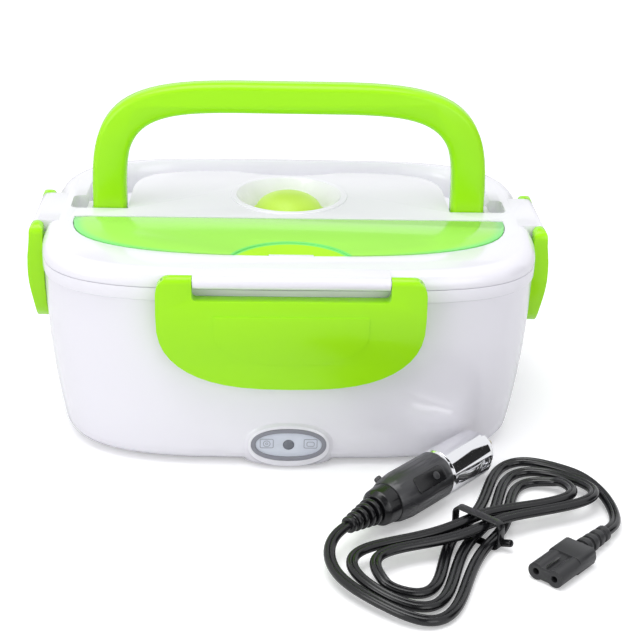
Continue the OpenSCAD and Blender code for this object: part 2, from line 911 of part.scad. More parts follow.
module handle_bow() {
    stations = 44;
    rings = [
        for (k = [0:stations])
            let (
                t = 180 * k / stations,
                o = handle_outer(t),
                i = handle_inner(t),
                w = norm(o - i),
                d = (o - i) / w
            )
                [for (p = section(w, handle_t)) [i[0] + d[0] * p[0], p[1], i[1] + d[1] * p[0]]]
    ];
    count = len(rings[0]);
    points = [for (r = rings) each r];
    faces = [
        for (k = [0:stations - 1]) for (i = [0:count - 1])
            let (a = k * count + i, b = k * count + (i + 1) % count)
                each [[a, a + count, b], [b, a + count, b + count]]
    ];
    polyhedron(points, concat(
        [[for (i = [0:count - 1]) i]], [[for (i = [count - 1:-1:0]) stations * count + i]], faces
    ));
}

module handle() {
    color("greenyellow")
        translate([0, pivot_y, pivot_z])
            difference() {
                union() {
                    handle_bow();
                    for (s = [-1, 1])
                        rod_x(handle_t / 2, s > 0 ? handle_half - leg_width : -handle_half,
                            s > 0 ? handle_half : -handle_half + leg_width);
                }
                for (s = [-1, 1])
                    rod_x(pivot_pin + pin_fit, s > 0 ? handle_half - leg_width - 1 : -handle_half - 1,
                        s > 0 ? handle_half + 1 : -handle_half + leg_width + 1);
            }
}

module handle_pins() {
    color("silver")
        translate([0, pivot_y, pivot_z])
            for (s = [-1, 1])
                rod_x(pivot_pin, s > 0 ? plateau_half - 1.2 : -ear_x - ear_t,
                    s > 0 ? ear_x + ear_t : -plateau_half + 1.2);
}

// ---------------------------------------------------------------- compartment cover and spoon

cover_top_z = hinge_z + barrel;
thumb_radius = 27;
notch_half = 9.7;
notch_depth = 1.6;

module compartment_cover() {
    color("greenyellow", 0.7)
        difference() {
            union() {
                plate(cover_outline(0, 2.3), cover_top_z - cover_t, cover_t);
                translate([0, hinge_y, hinge_z])
                    rod_x(barrel, -cover_x + 5, cover_x - 5);
                translate([0, hinge_y, hinge_z])
                    rod_x(hinge_pin, -cover_x - 1.2, cover_x + 1.2);
            }
            translate([0, cover_rear - cover_depth - 12, cover_top_z - 0.7])
                cylinder(r = thumb_radius, h = 5, $fn = 96);
            box([-notch_half, cover_rear - cover_depth - 1, hinge_z - 5],
                [notch_half, cover_rear - cover_depth + notch_depth, top_height + 5]);
        }
}

spoon_z = pan_floor + 0.3;
spoon_y = -34.5;
bowl_half = [24, 14.5];
bowl_depth = 6;

module spoon_bowl(scale_by, z) {
    heights = [for (t = [20, 45, 70, 90]) z + bowl_depth * (1 - cos(t))];
    loft(
        [for (t = [20, 45, 70, 90]) oval(bowl_half[0] * scale_by * sin(t), bowl_half[1] * scale_by * sin(t), 2.1)],
        heights
    );
}

module spoon() {
    color("white")
        translate([-spoon_length / 2 + bowl_half[0], spoon_y, spoon_z])
            union() {
                difference() {
                    spoon_bowl(1, -bowl_depth * (1 - cos(20)));
                    translate([0, 0, 1.4])
                        spoon_bowl(0.93, -bowl_depth * (1 - cos(20)) + 0.2);
                }
                translate([bowl_half[0] - 3, 0, bowl_depth - 2.2])
                    linear_extrude(2)
                        polygon([
                            [0, -4], [20, -3.2], [spoon_length - 60, -5.5], [spoon_length - 2 * bowl_half[0] - 4, -8],
                            [spoon_length - 2 * bowl_half[0], -4], [spoon_length - 2 * bowl_half[0], 4],
                            [spoon_length - 2 * bowl_half[0] - 4, 8], [spoon_length - 60, 5.5], [20, 3.2], [0, 4]
                        ]);
            }
}

// ---------------------------------------------------------------- latches

latch_skin = 2;
hollow_top = 14;
flap_top = 7;
flap_shoulder = 13;
panel_top = 13.2;
panel_rise = 0.4;

// Outer face of a latch below its pivot, measured outwards from the pivot
function latch_outer(drop) =
    latch_round + latch_bulge * ease(drop / 15) - latch_taper * ease((drop - 19) / (latch_drop - 26));

// Section of a latch; its inner face stands upright, just clear of the case's band
module latch_profile() {
    steps = 12;
    polygon(concat(
        [for (t = [180:-15:15]) latch_round * [cos(t), sin(t)]],
        [for (k = [0:steps]) let (drop = latch_drop * k / steps) [latch_outer(drop), -drop]],
        [[-latch_round, -latch_drop]]
    ));
}

// Section between the outer face moved out by two amounts, from one drop to another
module face_layer(inner, outer, from, to) {
    steps = 8;
    drops = [for (k = [0:steps]) mix(from, to, k / steps)];
    polygon(concat(
        [for (drop = drops) [latch_outer(drop) + outer, -drop]],
        [for (i = [steps:-1:0]) [inner < -latch_round ? inner : latch_outer(drops[i]) + inner, -drops[i]]]
    ));
}

// Lower edge of a latch in front view, from one side to the other, drawn in by an inset
function latch_lower_edge(half, shoulder, low, power) = [
    for (t = [0:7.5:180])
        [half * signed_power(cos(t), 2 / power), -shoulder - (low - shoulder) * signed_power(sin(t), 2 / power)]
];
function flap_edge(half, inset) = latch_lower_edge(half - inset, flap_shoulder, latch_drop - inset, 2.7);

// Front view of a latch: two horns over a deep rounded flap
module latch_front_view(half, horn) {
    corner = min(7.2, horn * 0.6);
    neck = min(2, horn * 0.2);
    arc = [for (t = [0:15:90]) [cos(t), sin(t)]];
    right = concat(
        [for (i = [6:-1:0]) [half - horn - neck + neck * arc[i][0], -flap_top + neck - neck * arc[i][1]]],
        [[half - horn, latch_round]],
        [for (i = [6:-1:0]) [half - corner, latch_round - corner] + corner * arc[i]]
    );
    left = [for (i = [len(right) - 1:-1:0]) [-right[i][0], right[i][1]]];
    polygon(concat(right, flap_edge(half, 0), left));
}

module latch(half, horn) {
    panel = half * 0.577;
    color("greenyellow")
        difference() {
            union() {
                intersection() {
                    rotate([90, 0, 90])
                        linear_extrude(2 * half + 2, center = true)
                            latch_profile();
                    rotate([90, 0, 0])
                        linear_extrude(60, center = true)
                            latch_front_view(half, horn);
                }
                intersection() {
                    rotate([90, 0, 90])
                        linear_extrude(2 * panel + 2, center = true)
                            face_layer(-1, panel_rise, panel_top, 36);
                    rotate([90, 0, 0])
                        linear_extrude(60, center = true)
                            polygon(concat(
                                latch_lower_edge(panel, 20, 35, 2.4),
                                [[-panel, -panel_top], [panel, -panel_top]]
                            ));
                }
            }
            intersection() {
                rotate([90, 0, 90])
                    linear_extrude(2 * half, center = true)
                        face_layer(-latch_round - 8, -latch_skin, hollow_top, latch_drop);
                rotate([90, 0, 0])
                    linear_extrude(60, center = true)
                        polygon(concat(
                            flap_edge(half, 2.4),
                            [[-half + 2.4, -flap_shoulder + 1], [half - 2.4, -flap_shoulder + 1]]
                        ));
            }
            rod_x(latch_pin + pin_fit, -half + 2.2, half - 2.2);
        }
}

module placed_latch(side) {
    s = SIDES[side];
    rotate(s[0])
        translate([0, s[1], s[2]])
            latch(s[3], s[4]);
}

module latch_front() {
    placed_latch(0);
}

module latch_back() {
    placed_latch(1);
}

module latch_left() {
    placed_latch(2);
}

module latch_right() {
    placed_latch(3);
}

module latch_pins() {
    color("silver")
        for (s = SIDES)
            rotate(s[0])
                translate([0, s[1], s[2]])
                    rod_x(latch_pin, -s[3] + 2.6, s[3] - 2.6);
}

// ---------------------------------------------------------------- tray and dish

tray_z = well_floor + heater_plate_t + 0.4;
tray_top = tray_z + tray_height;
tray_wall = 1.6;

function tray_outline(z, inset) =
    let (t = (z - tray_z) / tray_height)
        oval(mix(base_x - 12, half_x - 11.5, t) - inset, mix(base_y - 11, half_y - 11, t) - inset,
            mix(base_power, plan_power, t));

// A food compartment's inside between two x values, or a dish drawn in from it
module cell_form(inset, low, high, floor_z, top_z) {
    middle = (low + high) / 2;
    half = (high - low) / 2 - inset;
    intersection() {
        loft(
            [
                tray_outline(floor_z, tray_wall + inset + 6), tray_outline(floor_z, tray_wall + inset + 3),
                tray_outline(floor_z + 6, tray_wall + inset + 1), tray_outline(tray_top, tray_wall + inset),
                tray_outline(tray_top, tray_wall + inset)
            ],
            [floor_z, floor_z + 1.2, floor_z + 6, tray_top, top_z]
        );
        loft(
            [for (g = [6, 3, 1, 0, 0]) oval(half - g, half_y - 3 - inset, 9, 0, middle)],
            [floor_z - 0.2, floor_z + 1.3, floor_z + 6.2, tray_top - 0.3, top_z + 0.2]
        );
    }
}

module food_tray() {
    color("whitesmoke")
        difference() {
            union() {
                loft(
                    [tray_outline(tray_z, 4), tray_outline(tray_z + 5, 0), tray_outline(tray_top, 0)],
                    [tray_z, tray_z + 5, tray_top]
                );
                plate(well_outline(tray_top - 1.6, liner_wall + 0.6), tray_top - 1.6, 1.6);
            }
            cell_form(0, -half_x + 12, divider_x - 1, tray_z + tray_wall, tray_top + 2);
            cell_form(0, divider_x + 1, half_x - 12, tray_z + tray_wall, tray_top + 2);
        }
}

dish_wall = 1.2;
dish_gap = 1;
dish_top = tray_top + 1.4;
dish_low = dish_top - dish_height;

// The dish follows the compartment it hangs in
module small_dish() {
    low = divider_x + 1;
    high = half_x - 12;
    middle = (low + high) / 2;
    color("greenyellow")
        difference() {
            union() {
                cell_form(dish_gap, low, high, dish_low, dish_top - 0.1);
                intersection() {
                    plate(well_outline(tray_top, liner_wall + 1.4), tray_top + fit, dish_top - tray_top - fit);
                    plate(oval((high - low) / 2 + 3, half_y - 8, 7, 0, middle), tray_top, 5);
                }
            }
            cell_form(dish_gap + dish_wall, low, high, dish_low + dish_wall, dish_top + 2);
        }
}

// ---------------------------------------------------------------- the car lead

// The hank lies in its own frame: u along it, v across it towards the plug
hank_place = [74, -134, 0];
hank_turn = 47;
hank_u = 66;
hank_v = 18;
lane = cord_d + 0.9;
waist_lane = cord_d + 2.8;
cord_low = cord_d / 2;
cord_high = cord_low + cord_d + 0.6;
waist_lift = 1.2;
plug_v = 33.5;
plug_z = shell_radius + 0.2;
relief_u = -40;
connector_v = -37;
connector_u = 34;
connector_z = 4;

// Route of the two tails, in the hank's frame
plug_tail = [
    [relief_u, plug_v, plug_z], [relief_u - 5, plug_v, plug_z], [-52, 33, 9], [-58, 28.5, 6.5],
    [-63, 20.5, 5.6], [-65.5, 12, 5.2]
];
connector_tail = [
    [66, -5, 4.9], [64.5, -14, 4.4], [59, -25, 3], [50, -33, 2.6], [44, -36.5, 3.2],
    [connector_u + 5, connector_v, connector_z], [connector_u, connector_v, connector_z]
];

// One loop of the figure-eight hank per unit of k: even loops at the right end, odd ones at the left
function is_right(k) = k % 2 == 0;
function loop_inset(k) = is_right(k) ? (2 - k / 2) * lane : (k + 1) / 2 * lane;
function lane_shift(k) = is_right(k) ? (k / 2 - 1) * waist_lane : (2 - k) / 2 * waist_lane;
function loop_shape(w) = sin(360 * w) * pow(abs(sin(180 * w)), 0.8) / 0.803;

function hank_point(x) =
    let (
        k = floor(x),
        w = x - k,
        side = is_right(k) ? 1 : -1,
        u = side * (hank_u - loop_inset(k)) * sin(180 * w),
        v = hank_v * loop_shape(w) + mix(lane_shift(k), lane_shift(k + 1), ease((w - 0.42) / 0.16)),
        rise = ease((w - 0.28) / 0.44),
        z = is_right(k) ? mix(cord_low, cord_high, rise) : mix(cord_high, cord_low, rise)
    )
        [u, v, z + waist_lift * ease(1 - abs(u) / 26)];

loop_rings = 24;
hank_route = [for (i = [0:5 * loop_rings]) hank_point(-0.5 + i / loop_rings)];
cord_route = concat(plug_tail, hank_route, connector_tail);

function path_length(p, i = 0) = i >= len(p) - 1 ? 0 : norm(p[i + 1] - p[i]) + path_length(p, i + 1);

// Least distance between stretches of the cord that are far apart along it, less one diameter
function least_gap(p, apart) = min([
    for (i = [0:len(p) - 1]) for (j = [i + apart:1:len(p) - 1]) norm(p[i] - p[j])
]) - cord_d;

echo(cord_length = path_length(cord_route));
echo(least_gap_of_the_cord = least_gap(cord_route, 10));

module in_hank_frame() {
    translate(hank_place)
        rotate(hank_turn)
            children();
}

module lead_cord() {
    color("black")
        in_hank_frame()
            tube(cord_route, cord_d / 2, 6);
}

tie_wall = 0.9;

module lead_tie() {
    width = 2 * waist_lane + cord_d + 1.6;
    height = cord_high + cord_low + waist_lift + fit + tie_wall;
    color("black")
        in_hank_frame()
            rotate([90, 0, 90])
                linear_extrude(4, center = true)
                    translate([0, height / 2 + 0.1])
                        difference() {
                            rounded_square([width + 2 * tie_wall, height], 3);
                            rounded_square([width, height - 2 * tie_wall], 2.2);
                        }
}

module in_connector_frame() {
    in_hank_frame()
        translate([connector_u, connector_v, connector_z])
            rotate([0, -90, 0])
                children();
}

relief_length = 18;
connector_length = 24;

// Segmented strain relief: short collars on a thin core
module segmented_relief(long, segments, r1, r2) {
    pitch = long / segments;
    rotate_extrude()
        polygon([[0, 0], [cord_d / 2 + 0.4, 0], [cord_d / 2 + 0.4, long], [0, long]]);
    for (i = [0:segments - 1])
        translate([0, 0, i * pitch])
            cylinder(r = mix(r1, r2, i / (segments - 1)), h = pitch * 0.6);
}

module connector_relief() {
    color("black")
        in_connector_frame()
            segmented_relief(relief_length, 4, 3.3, 3.9);
}

module lead_connector() {
    color("black")
        in_connector_frame()
            translate([0, 0, relief_length])
                difference() {
                    union() {
                        linear_extrude(connector_length)
                            rotate(90)
                                figure_eight_outline(-0.2);
                        linear_extrude(connector_length * 0.45)
                            rotate(90)
                                rounded_square([14.6, 7.6], 2.4);
                    }
                    for (x = [-1, 1])
                        translate([0, x * figure_eight, connector_length - 9])
                            cylinder(r = inlet_pin + 0.15, h = 10);
                }
}

module in_plug_frame() {
    in_hank_frame()
        translate([relief_u, plug_v, plug_z])
            rotate([0, 90, 0])
                children();
}

plug_relief_length = 16;
collar_length = 8;
body_length = 32;
body_from = plug_relief_length + collar_length;
shell_from = body_from + body_length;
tip_from = shell_from + shell_length;

module plug_relief() {
    color("black")
        in_plug_frame()
            segmented_relief(plug_relief_length, 5, 3.4, 5.6);
}

module plug_collar() {
    color("black")
        in_plug_frame()
            translate([0, 0, plug_relief_length])
                rotate_extrude()
                    polygon([[0, 0], [6, 0], [7.6, 2], [8.2, collar_length], [0, collar_length]]);
}

window_half = [9, 3.4];

module plug_body() {
    color("dimgray")
        in_plug_frame()
            translate([0, 0, body_from])
                difference() {
                    rotate_extrude()
                        polygon([
                            [0, 0], [8.4, 0], [9.4, 3], [shell_radius - 0.2, 9], [shell_radius - 0.2, body_length - 1],
                            [shell_radius - 0.8, body_length], [0, body_length]
                        ]);
                    translate([0, 0, body_length / 2 + 2])
                        rotate([0, -90, 0])
                            translate([0, 0, shell_radius - 1.9])
                                linear_extrude(5)
                                    rounded_square([2 * window_half[0] + 0.1, 2 * window_half[1] + 0.1], 2);
                }
}

module plug_window() {
    color("black")
        in_plug_frame()
            translate([0, 0, body_from + body_length / 2 + 2])
                rotate([0, -90, 0])
                    translate([0, 0, shell_radius - 1.85])
                        linear_extrude(1.9)
                            rounded_square([2 * window_half[0], 2 * window_half[1]], 1.95);
}

slot_width = 4.6;

module plug_shell() {
    color("silver")
        in_plug_frame()
            translate([0, 0, shell_from])
                difference() {
                    rotate_extrude()
                        polygon([
                            [0, 0.05], [shell_radius - 1.2, 0.05], [shell_radius - 0.2, 1], [shell_radius - 0.2, shell_length - 4],
                            [shell_radius - 1.4, shell_length - 3], [shell_radius - 2.2, shell_length], [0, shell_length]
                        ]);
                    translate([0, 0, shell_length - 12])
                        cylinder(r = 2.6, h = 20);
                    for (s = [-1, 1])
                        box([-slot_width / 2, s > 0 ? shell_radius - 3.4 : -shell_radius - 2, 3],
                            [slot_width / 2, s > 0 ? shell_radius + 2 : -shell_radius + 3.4, shell_length - 6]);
                }
}

// Two bowed spring strips in the shell's slots
module side_contacts() {
    strip = shell_length - 9.6;
    bow = 2.4;
    color("silver")
        in_plug_frame()
            translate([0, 0, shell_from + 3.3])
                for (s = [-1, 1])
                    rotate([0, -90, 0])
                        linear_extrude(slot_width - 0.6, center = true)
                            polygon(concat(
                                [for (i = [0:12]) [strip * i / 12, s * (shell_radius - 1.9 + bow * sin(15 * i))]],
                                [for (i = [12:-1:0]) [strip * i / 12, s * (shell_radius - 2.7 + bow * sin(15 * i))]]
                            ));
}

module plug_tip() {
    color("silver")
        in_plug_frame()
            translate([0, 0, tip_from - 8])
                rotate_extrude()
                    polygon([
                        [0, 0], [2.4, 0], [2.4, 10], [3.2, 10.4], [3.2, 11.6], [1.9, 12.4], [1.9, 15],
                        [1.3, 16.4], [0, 17]
                    ]);
}

outer_case();
inner_well();
bottom_cover();
feet();
base_screws();
heater_plate();
ptc_heater();
heater_clamp();
thermostat();
lamp_bezel();
lamp_badge();
lamp_lens();
indicator_led();
power_inlet();
inlet_pins();
wiring();
lid_cover();
lid_liner();
lid_seal();
vent_plug();
handle();
handle_pins();
compartment_cover();
spoon();
latch_front();
latch_back();
latch_left();
latch_right();
latch_pins();
food_tray();
small_dish();
lead_cord();
lead_tie();
lead_connector();
connector_relief();
plug_relief();
plug_collar();
plug_body();
plug_window();
plug_shell();
side_contacts();
plug_tip();
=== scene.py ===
# %% [markdown]
# # An electric lunch box and its car lead
# The solids of this lunch box come ready from the CAD frame, each at its real
# size and place. This lesson dresses them: soft moulded edges, glossy white and
# lime plastic, a glossy black cord, chrome and a plain studio round them. It
# could all be modelled afresh, but the joints and fits were tested on the
# solids, so each dressed piece is a rounded copy of its solid or is built in
# the same place. Places are in metres, with the lamp side facing -Y and the
# table at Z = 0. Sizes of single features are written in millimetres.

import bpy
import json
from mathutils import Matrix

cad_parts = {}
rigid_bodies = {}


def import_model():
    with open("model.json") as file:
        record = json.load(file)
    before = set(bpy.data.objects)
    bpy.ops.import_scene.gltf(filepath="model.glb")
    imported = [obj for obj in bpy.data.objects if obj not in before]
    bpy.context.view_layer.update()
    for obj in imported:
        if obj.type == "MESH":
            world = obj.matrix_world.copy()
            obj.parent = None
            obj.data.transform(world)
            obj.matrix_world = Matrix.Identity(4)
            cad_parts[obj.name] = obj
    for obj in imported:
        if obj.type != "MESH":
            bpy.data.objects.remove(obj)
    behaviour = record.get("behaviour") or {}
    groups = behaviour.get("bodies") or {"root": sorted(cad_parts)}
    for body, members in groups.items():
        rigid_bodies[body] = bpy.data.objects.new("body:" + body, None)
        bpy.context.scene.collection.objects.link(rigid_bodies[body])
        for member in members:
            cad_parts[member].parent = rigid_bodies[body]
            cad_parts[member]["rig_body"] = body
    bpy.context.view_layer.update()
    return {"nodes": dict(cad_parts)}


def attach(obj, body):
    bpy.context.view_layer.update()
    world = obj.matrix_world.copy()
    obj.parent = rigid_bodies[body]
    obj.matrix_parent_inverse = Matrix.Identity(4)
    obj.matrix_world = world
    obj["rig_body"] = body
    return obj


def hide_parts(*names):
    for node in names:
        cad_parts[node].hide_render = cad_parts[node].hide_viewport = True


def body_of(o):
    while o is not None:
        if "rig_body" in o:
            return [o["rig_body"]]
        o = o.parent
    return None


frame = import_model()

# %% Tools
import json
import math

import bmesh
import bpy
from mathutils import Matrix, Vector

MM = 0.001
print("Blender", bpy.app.version_string)

# %% [markdown]
# ## Camera
# The photograph was taken a little above the lid, almost square on. A long lens
# keeps the sides nearly parallel. The camera's place comes from matching known
# points of the box to their places in the picture: a pitch of about 22 degrees,
# 0.7 m away. The aim is moved so that the box sits left of the middle and the
# lead fits in the lower right corner, as it does in the picture.

# %% Camera
PITCH, YAW, ROLL = math.radians(22.46), math.radians(1.07), math.radians(1.01)
FOCAL_PX, FRAME_PX, SENSOR = 1529.7, 640.0, 36.0
TARGET, DISTANCE = Vector((0, 0, 0.05)), 0.7055
AIM_PX = (287.87, 292.14)


def camera_axes():
    """Right, up, forward and place of the camera, with the target off centre by AIM_PX."""
    back = Vector((
        math.sin(-YAW) * math.cos(PITCH),
        -math.cos(-YAW) * math.cos(PITCH),
        math.sin(PITCH),
    ))
    level = Vector((math.cos(-YAW), math.sin(-YAW), 0))
    rise = back.cross(level)
    right = math.cos(ROLL) * level + math.sin(ROLL) * rise
    up = -math.sin(ROLL) * level + math.cos(ROLL) * rise
    across = (AIM_PX[0] - FRAME_PX / 2) / FOCAL_PX
    down = (AIM_PX[1] - FRAME_PX / 2) / FOCAL_PX
    forward = (-back - across * right + down * up).normalized()
    right = (right - right.dot(forward) * forward).normalized()
    return right, right.cross(forward), forward, TARGET + back * DISTANCE


right, up, forward, eye = camera_axes()
bpy.ops.object.camera_add(location=eye)
camera = bpy.context.object
camera.name = "camera"
camera.data.sensor_width = SENSOR
camera.data.lens = FOCAL_PX * SENSOR / FRAME_PX
camera.data.clip_start, camera.data.clip_end = 0.02, 30
camera.rotation_mode = "QUATERNION"
turn = forward.to_track_quat("-Z", "Y").to_matrix()
turn.col[0], turn.col[1], turn.col[2] = right, up, -forward
camera.rotation_quaternion = turn.to_quaternion()
bpy.context.scene.camera = camera
print("camera at", [round(v, 3) for v in eye], "lens", round(camera.data.lens, 1))

# %% [markdown]
# ## Moulded plastic
# Nearly everything here is injection moulded ABS or polypropylene. It has one
# colour right through, a smooth skin that shows soft highlights, and a faint
# waviness where the plastic shrank in the mould. A painted image could show
# that too, but it would stretch over the curved walls. Noise read at each
# point's own place doesn't, so one node group makes the waviness, a fine grain
# and a very slight change of gloss for all the plastics.

# %% Moulded skin
WAVE_SCALE, WAVE_HEIGHT = 28, 0.002
GRAIN_SCALE, GRAIN_HEIGHT = 2600, 0.0001
GLOSS_SHIFT = 0.03


def moulded_skin_group():
    """Gives a slightly wavy normal and a slightly uneven roughness."""
    group = bpy.data.node_groups.new("moulded_skin", "ShaderNodeTree")
    face = group.interface
    for name, value in (("Roughness", 0.3), ("Wave", 0.02), ("Grain", 0.0)):
        face.new_socket(name, in_out="INPUT", socket_type="NodeSocketFloat").default_value = value
    face.new_socket("Roughness", in_out="OUTPUT", socket_type="NodeSocketFloat")
    face.new_socket("Normal", in_out="OUTPUT", socket_type="NodeSocketVector")
    node, link = group.nodes.new, group.links.new
    given, out = node("NodeGroupInput"), node("NodeGroupOutput")
    place = node("ShaderNodeTexCoord")
    slow, fine = node("ShaderNodeTexNoise"), node("ShaderNodeTexNoise")
    slow.inputs["Scale"].default_value = WAVE_SCALE
    fine.inputs["Scale"].default_value = GRAIN_SCALE
    for noise in (slow, fine):
        link(place.outputs["Object"], noise.inputs["Vector"])
    wavy, grainy = node("ShaderNodeBump"), node("ShaderNodeBump")
    wavy.inputs["Distance"].default_value = WAVE_HEIGHT
    grainy.inputs["Distance"].default_value = GRAIN_HEIGHT
    link(given.outputs["Wave"], wavy.inputs["Strength"])
    link(slow.outputs["Fac"], wavy.inputs["Height"])
    link(given.outputs["Grain"], grainy.inputs["Strength"])
    link(fine.outputs["Fac"], grainy.inputs["Height"])
    link(wavy.outputs["Normal"], grainy.inputs["Normal"])
    link(grainy.outputs["Normal"], out.inputs["Normal"])
    uneven = node("ShaderNodeMapRange")
    uneven.inputs["To Min"].default_value = -GLOSS_SHIFT
    uneven.inputs["To Max"].default_value = GLOSS_SHIFT
    link(slow.outputs["Fac"], uneven.inputs["Value"])
    total = node("ShaderNodeMath")
    total.operation = "ADD"
    total.use_clamp = True
    link(given.outputs["Roughness"], total.inputs[0])
    link(uneven.outputs["Result"], total.inputs[1])
    link(total.outputs["Value"], out.inputs["Roughness"])
    return group


moulded_skin = moulded_skin_group()
print("group", moulded_skin.name)

# %% [markdown]
# ## Outer plastics
# The case and lid are a cool glossy white under a thin clear shine. The handle
# and latches are a strong lime. The flap over the spoon is clear green and lets
# a little of what lies under it through, and the vent plug is soft silicone.
# Each colour sits straight on the Principled shader, apart from the clear
# cover's, which gets painted light, bluer and yellower greens, in a later step.

# %% Outer plastics
COVER_GREEN = (0.42, 0.9, 0.13)


def plastic(name, colour, roughness, wave=0.02, grain=0.0, **sockets):
    """A moulded plastic or rubber of one colour."""
    material = bpy.data.materials.new(name)
    material.use_nodes = True
    tree = material.node_tree
    shader = tree.nodes["Principled BSDF"]
    shader.inputs["Base Color"].default_value = (*colour, 1)
    skin = tree.nodes.new("ShaderNodeGroup")
    skin.node_tree = moulded_skin
    skin.inputs["Roughness"].default_value = roughness
    skin.inputs["Wave"].default_value = wave
    skin.inputs["Grain"].default_value = grain
    tree.links.new(skin.outputs["Roughness"], shader.inputs["Roughness"])
    tree.links.new(skin.outputs["Normal"], shader.inputs["Normal"])
    for socket, value in sockets.items():
        shader.inputs[socket.replace("_", " ")].default_value = value
    return material


white_gloss = plastic(
    "white_gloss", (0.83, 0.815, 0.875), 0.2, Coat_Weight=0.3, Coat_Roughness=0.08,
)
lime_gloss = plastic(
    "lime_gloss", (0.355, 0.815, 0.006), 0.26, Coat_Weight=0.1, Coat_Roughness=0.1,
    Specular_IOR_Level=0.3,
)
cover_gloss = plastic("cover_gloss", COVER_GREEN, 0.16, Alpha=0.86)
vent_satin = plastic("vent_satin", (0.56, 0.84, 0.08), 0.36)
print("outer plastics:", white_gloss.name, lime_gloss.name, cover_gloss.name, vent_satin.name)

# %% [markdown]
# ## Inner and small plastics
# Parts that touch food are a plainer satin white, the seal is soft and dull, and
# the feet are rubber with a fine grain. The lamp has greys of its own. The
# badge, its signs and the lens are too small to show any waviness, so theirs is
# zero.

# %% Inner and small plastics
liner_satin = plastic("liner_satin", (0.8, 0.81, 0.81), 0.4)
seal_matte = plastic("seal_matte", (0.72, 0.73, 0.74), 0.6)
foot_matte = plastic("foot_matte", (0.05, 0.05, 0.055), 0.75, grain=0.3)
bezel_satin = plastic("bezel_satin", (0.24, 0.24, 0.28), 0.35)
badge_satin = plastic("badge_satin", (0.62, 0.65, 0.74), 0.32, wave=0)
mark_grey = plastic("mark_grey", (0.3, 0.31, 0.36), 0.4, wave=0)
lens_smoke = plastic("lens_smoke", (0.16, 0.17, 0.2), 0.08, wave=0)
led_red = plastic("led_red", (0.6, 0.05, 0.03), 0.2)
ceramic_tan = plastic("ceramic_tan", (0.6, 0.45, 0.2), 0.6)
ivory_matte = plastic("ivory_matte", (0.75, 0.72, 0.62), 0.5)
inlet_black = plastic("inlet_black", (0.02, 0.02, 0.022), 0.4, grain=0.2)
wire_red = plastic("wire_red", (0.5, 0.05, 0.04), 0.4)
spoon_white = plastic("spoon_white", (0.84, 0.84, 0.85), 0.3)
print(len(bpy.data.materials), "materials so far")

# %% [markdown]
# ## Finishes of the lead, and metals
# The flex and the plug's grip are a glossy black, the plug's body a harder dark
# grey with a fine moulded grain, and the connector duller still. The shell of
# the plug is chromed and its tip plated duller. The box's screws and pins are
# plain steel, its heating plate aluminium and the inlet's pins brass. The metal
# pieces are small and hard, so a full Metallic value and a roughness are enough.

# %% Finishes of the lead, and metals
cord_black = plastic("cord_black", (0.006, 0.006, 0.007), 0.2, wave=0.01)
grip_black = plastic("grip_black", (0.006, 0.006, 0.007), 0.24)
plug_grey = plastic("plug_grey", (0.035, 0.035, 0.038), 0.28, grain=0.15)
connector_grey = plastic("connector_grey", (0.02, 0.02, 0.022), 0.4, grain=0.25)


def metal(name, colour, roughness):
    """Bare or plated metal."""
    material = bpy.data.materials.new(name)
    material.use_nodes = True
    shader = material.node_tree.nodes["Principled BSDF"]
    shader.inputs["Base Color"].default_value = (*colour, 1)
    shader.inputs["Metallic"].default_value = 1
    shader.inputs["Roughness"].default_value = roughness
    return material


chrome = metal("chrome", (0.86, 0.86, 0.88), 0.07)
steel = metal("steel", (0.6, 0.6, 0.62), 0.28)
aluminium = metal("aluminium", (0.78, 0.78, 0.8), 0.3)
brass = metal("brass", (0.8, 0.62, 0.3), 0.25)
tip_silver = metal("tip_silver", (0.5, 0.47, 0.36), 0.22)
print(len(bpy.data.materials), "materials")

# %% [markdown]
# ## Painted light in the clear cover
# The cover is clear green plastic. Where the light runs along inside it, at its
# curved edge and at the step of the thumb dimple, it looks bluer, and the thin
# floor of the dimple looks yellower. Real refraction would need many samples
# for little gain, so this light is painted into the colour: a node group works
# those places out from the cover's own outline, a curve between an ellipse and
# a rectangle, and mixes the greens.

# %% Cover outline
COVER_HALF, COVER_REACH, COVER_REAR, COVER_POWER = 94.5, 46.0, -12.4, 2.8
EDGE_FROM, SIDES_FROM, SIDES_TO, EDGE_SHARE = 0.84, 0.3, 0.8, 0.55
THUMB_Y, THUMB_R, THUMB_SOFT = -70.4, 27.0, 1.5
STEP_NEAR, STEP_FAR, STEP_SHARE = 0.4, 1.7, 0.7
# Painted light: the yellower dimple green and the bluer edge and step greens stand for light
# through and inside the clear plastic
DIMPLE_PAINTED_LIGHT, EDGE_PAINTED_LIGHT, STEP_PAINTED_LIGHT = (0.5, 0.92, 0.04), (0.12, 0.86, 0.3), (0.14, 0.86, 0.26)
print("cover", 2 * COVER_HALF, "mm long, dimple radius", THUMB_R, "mm")
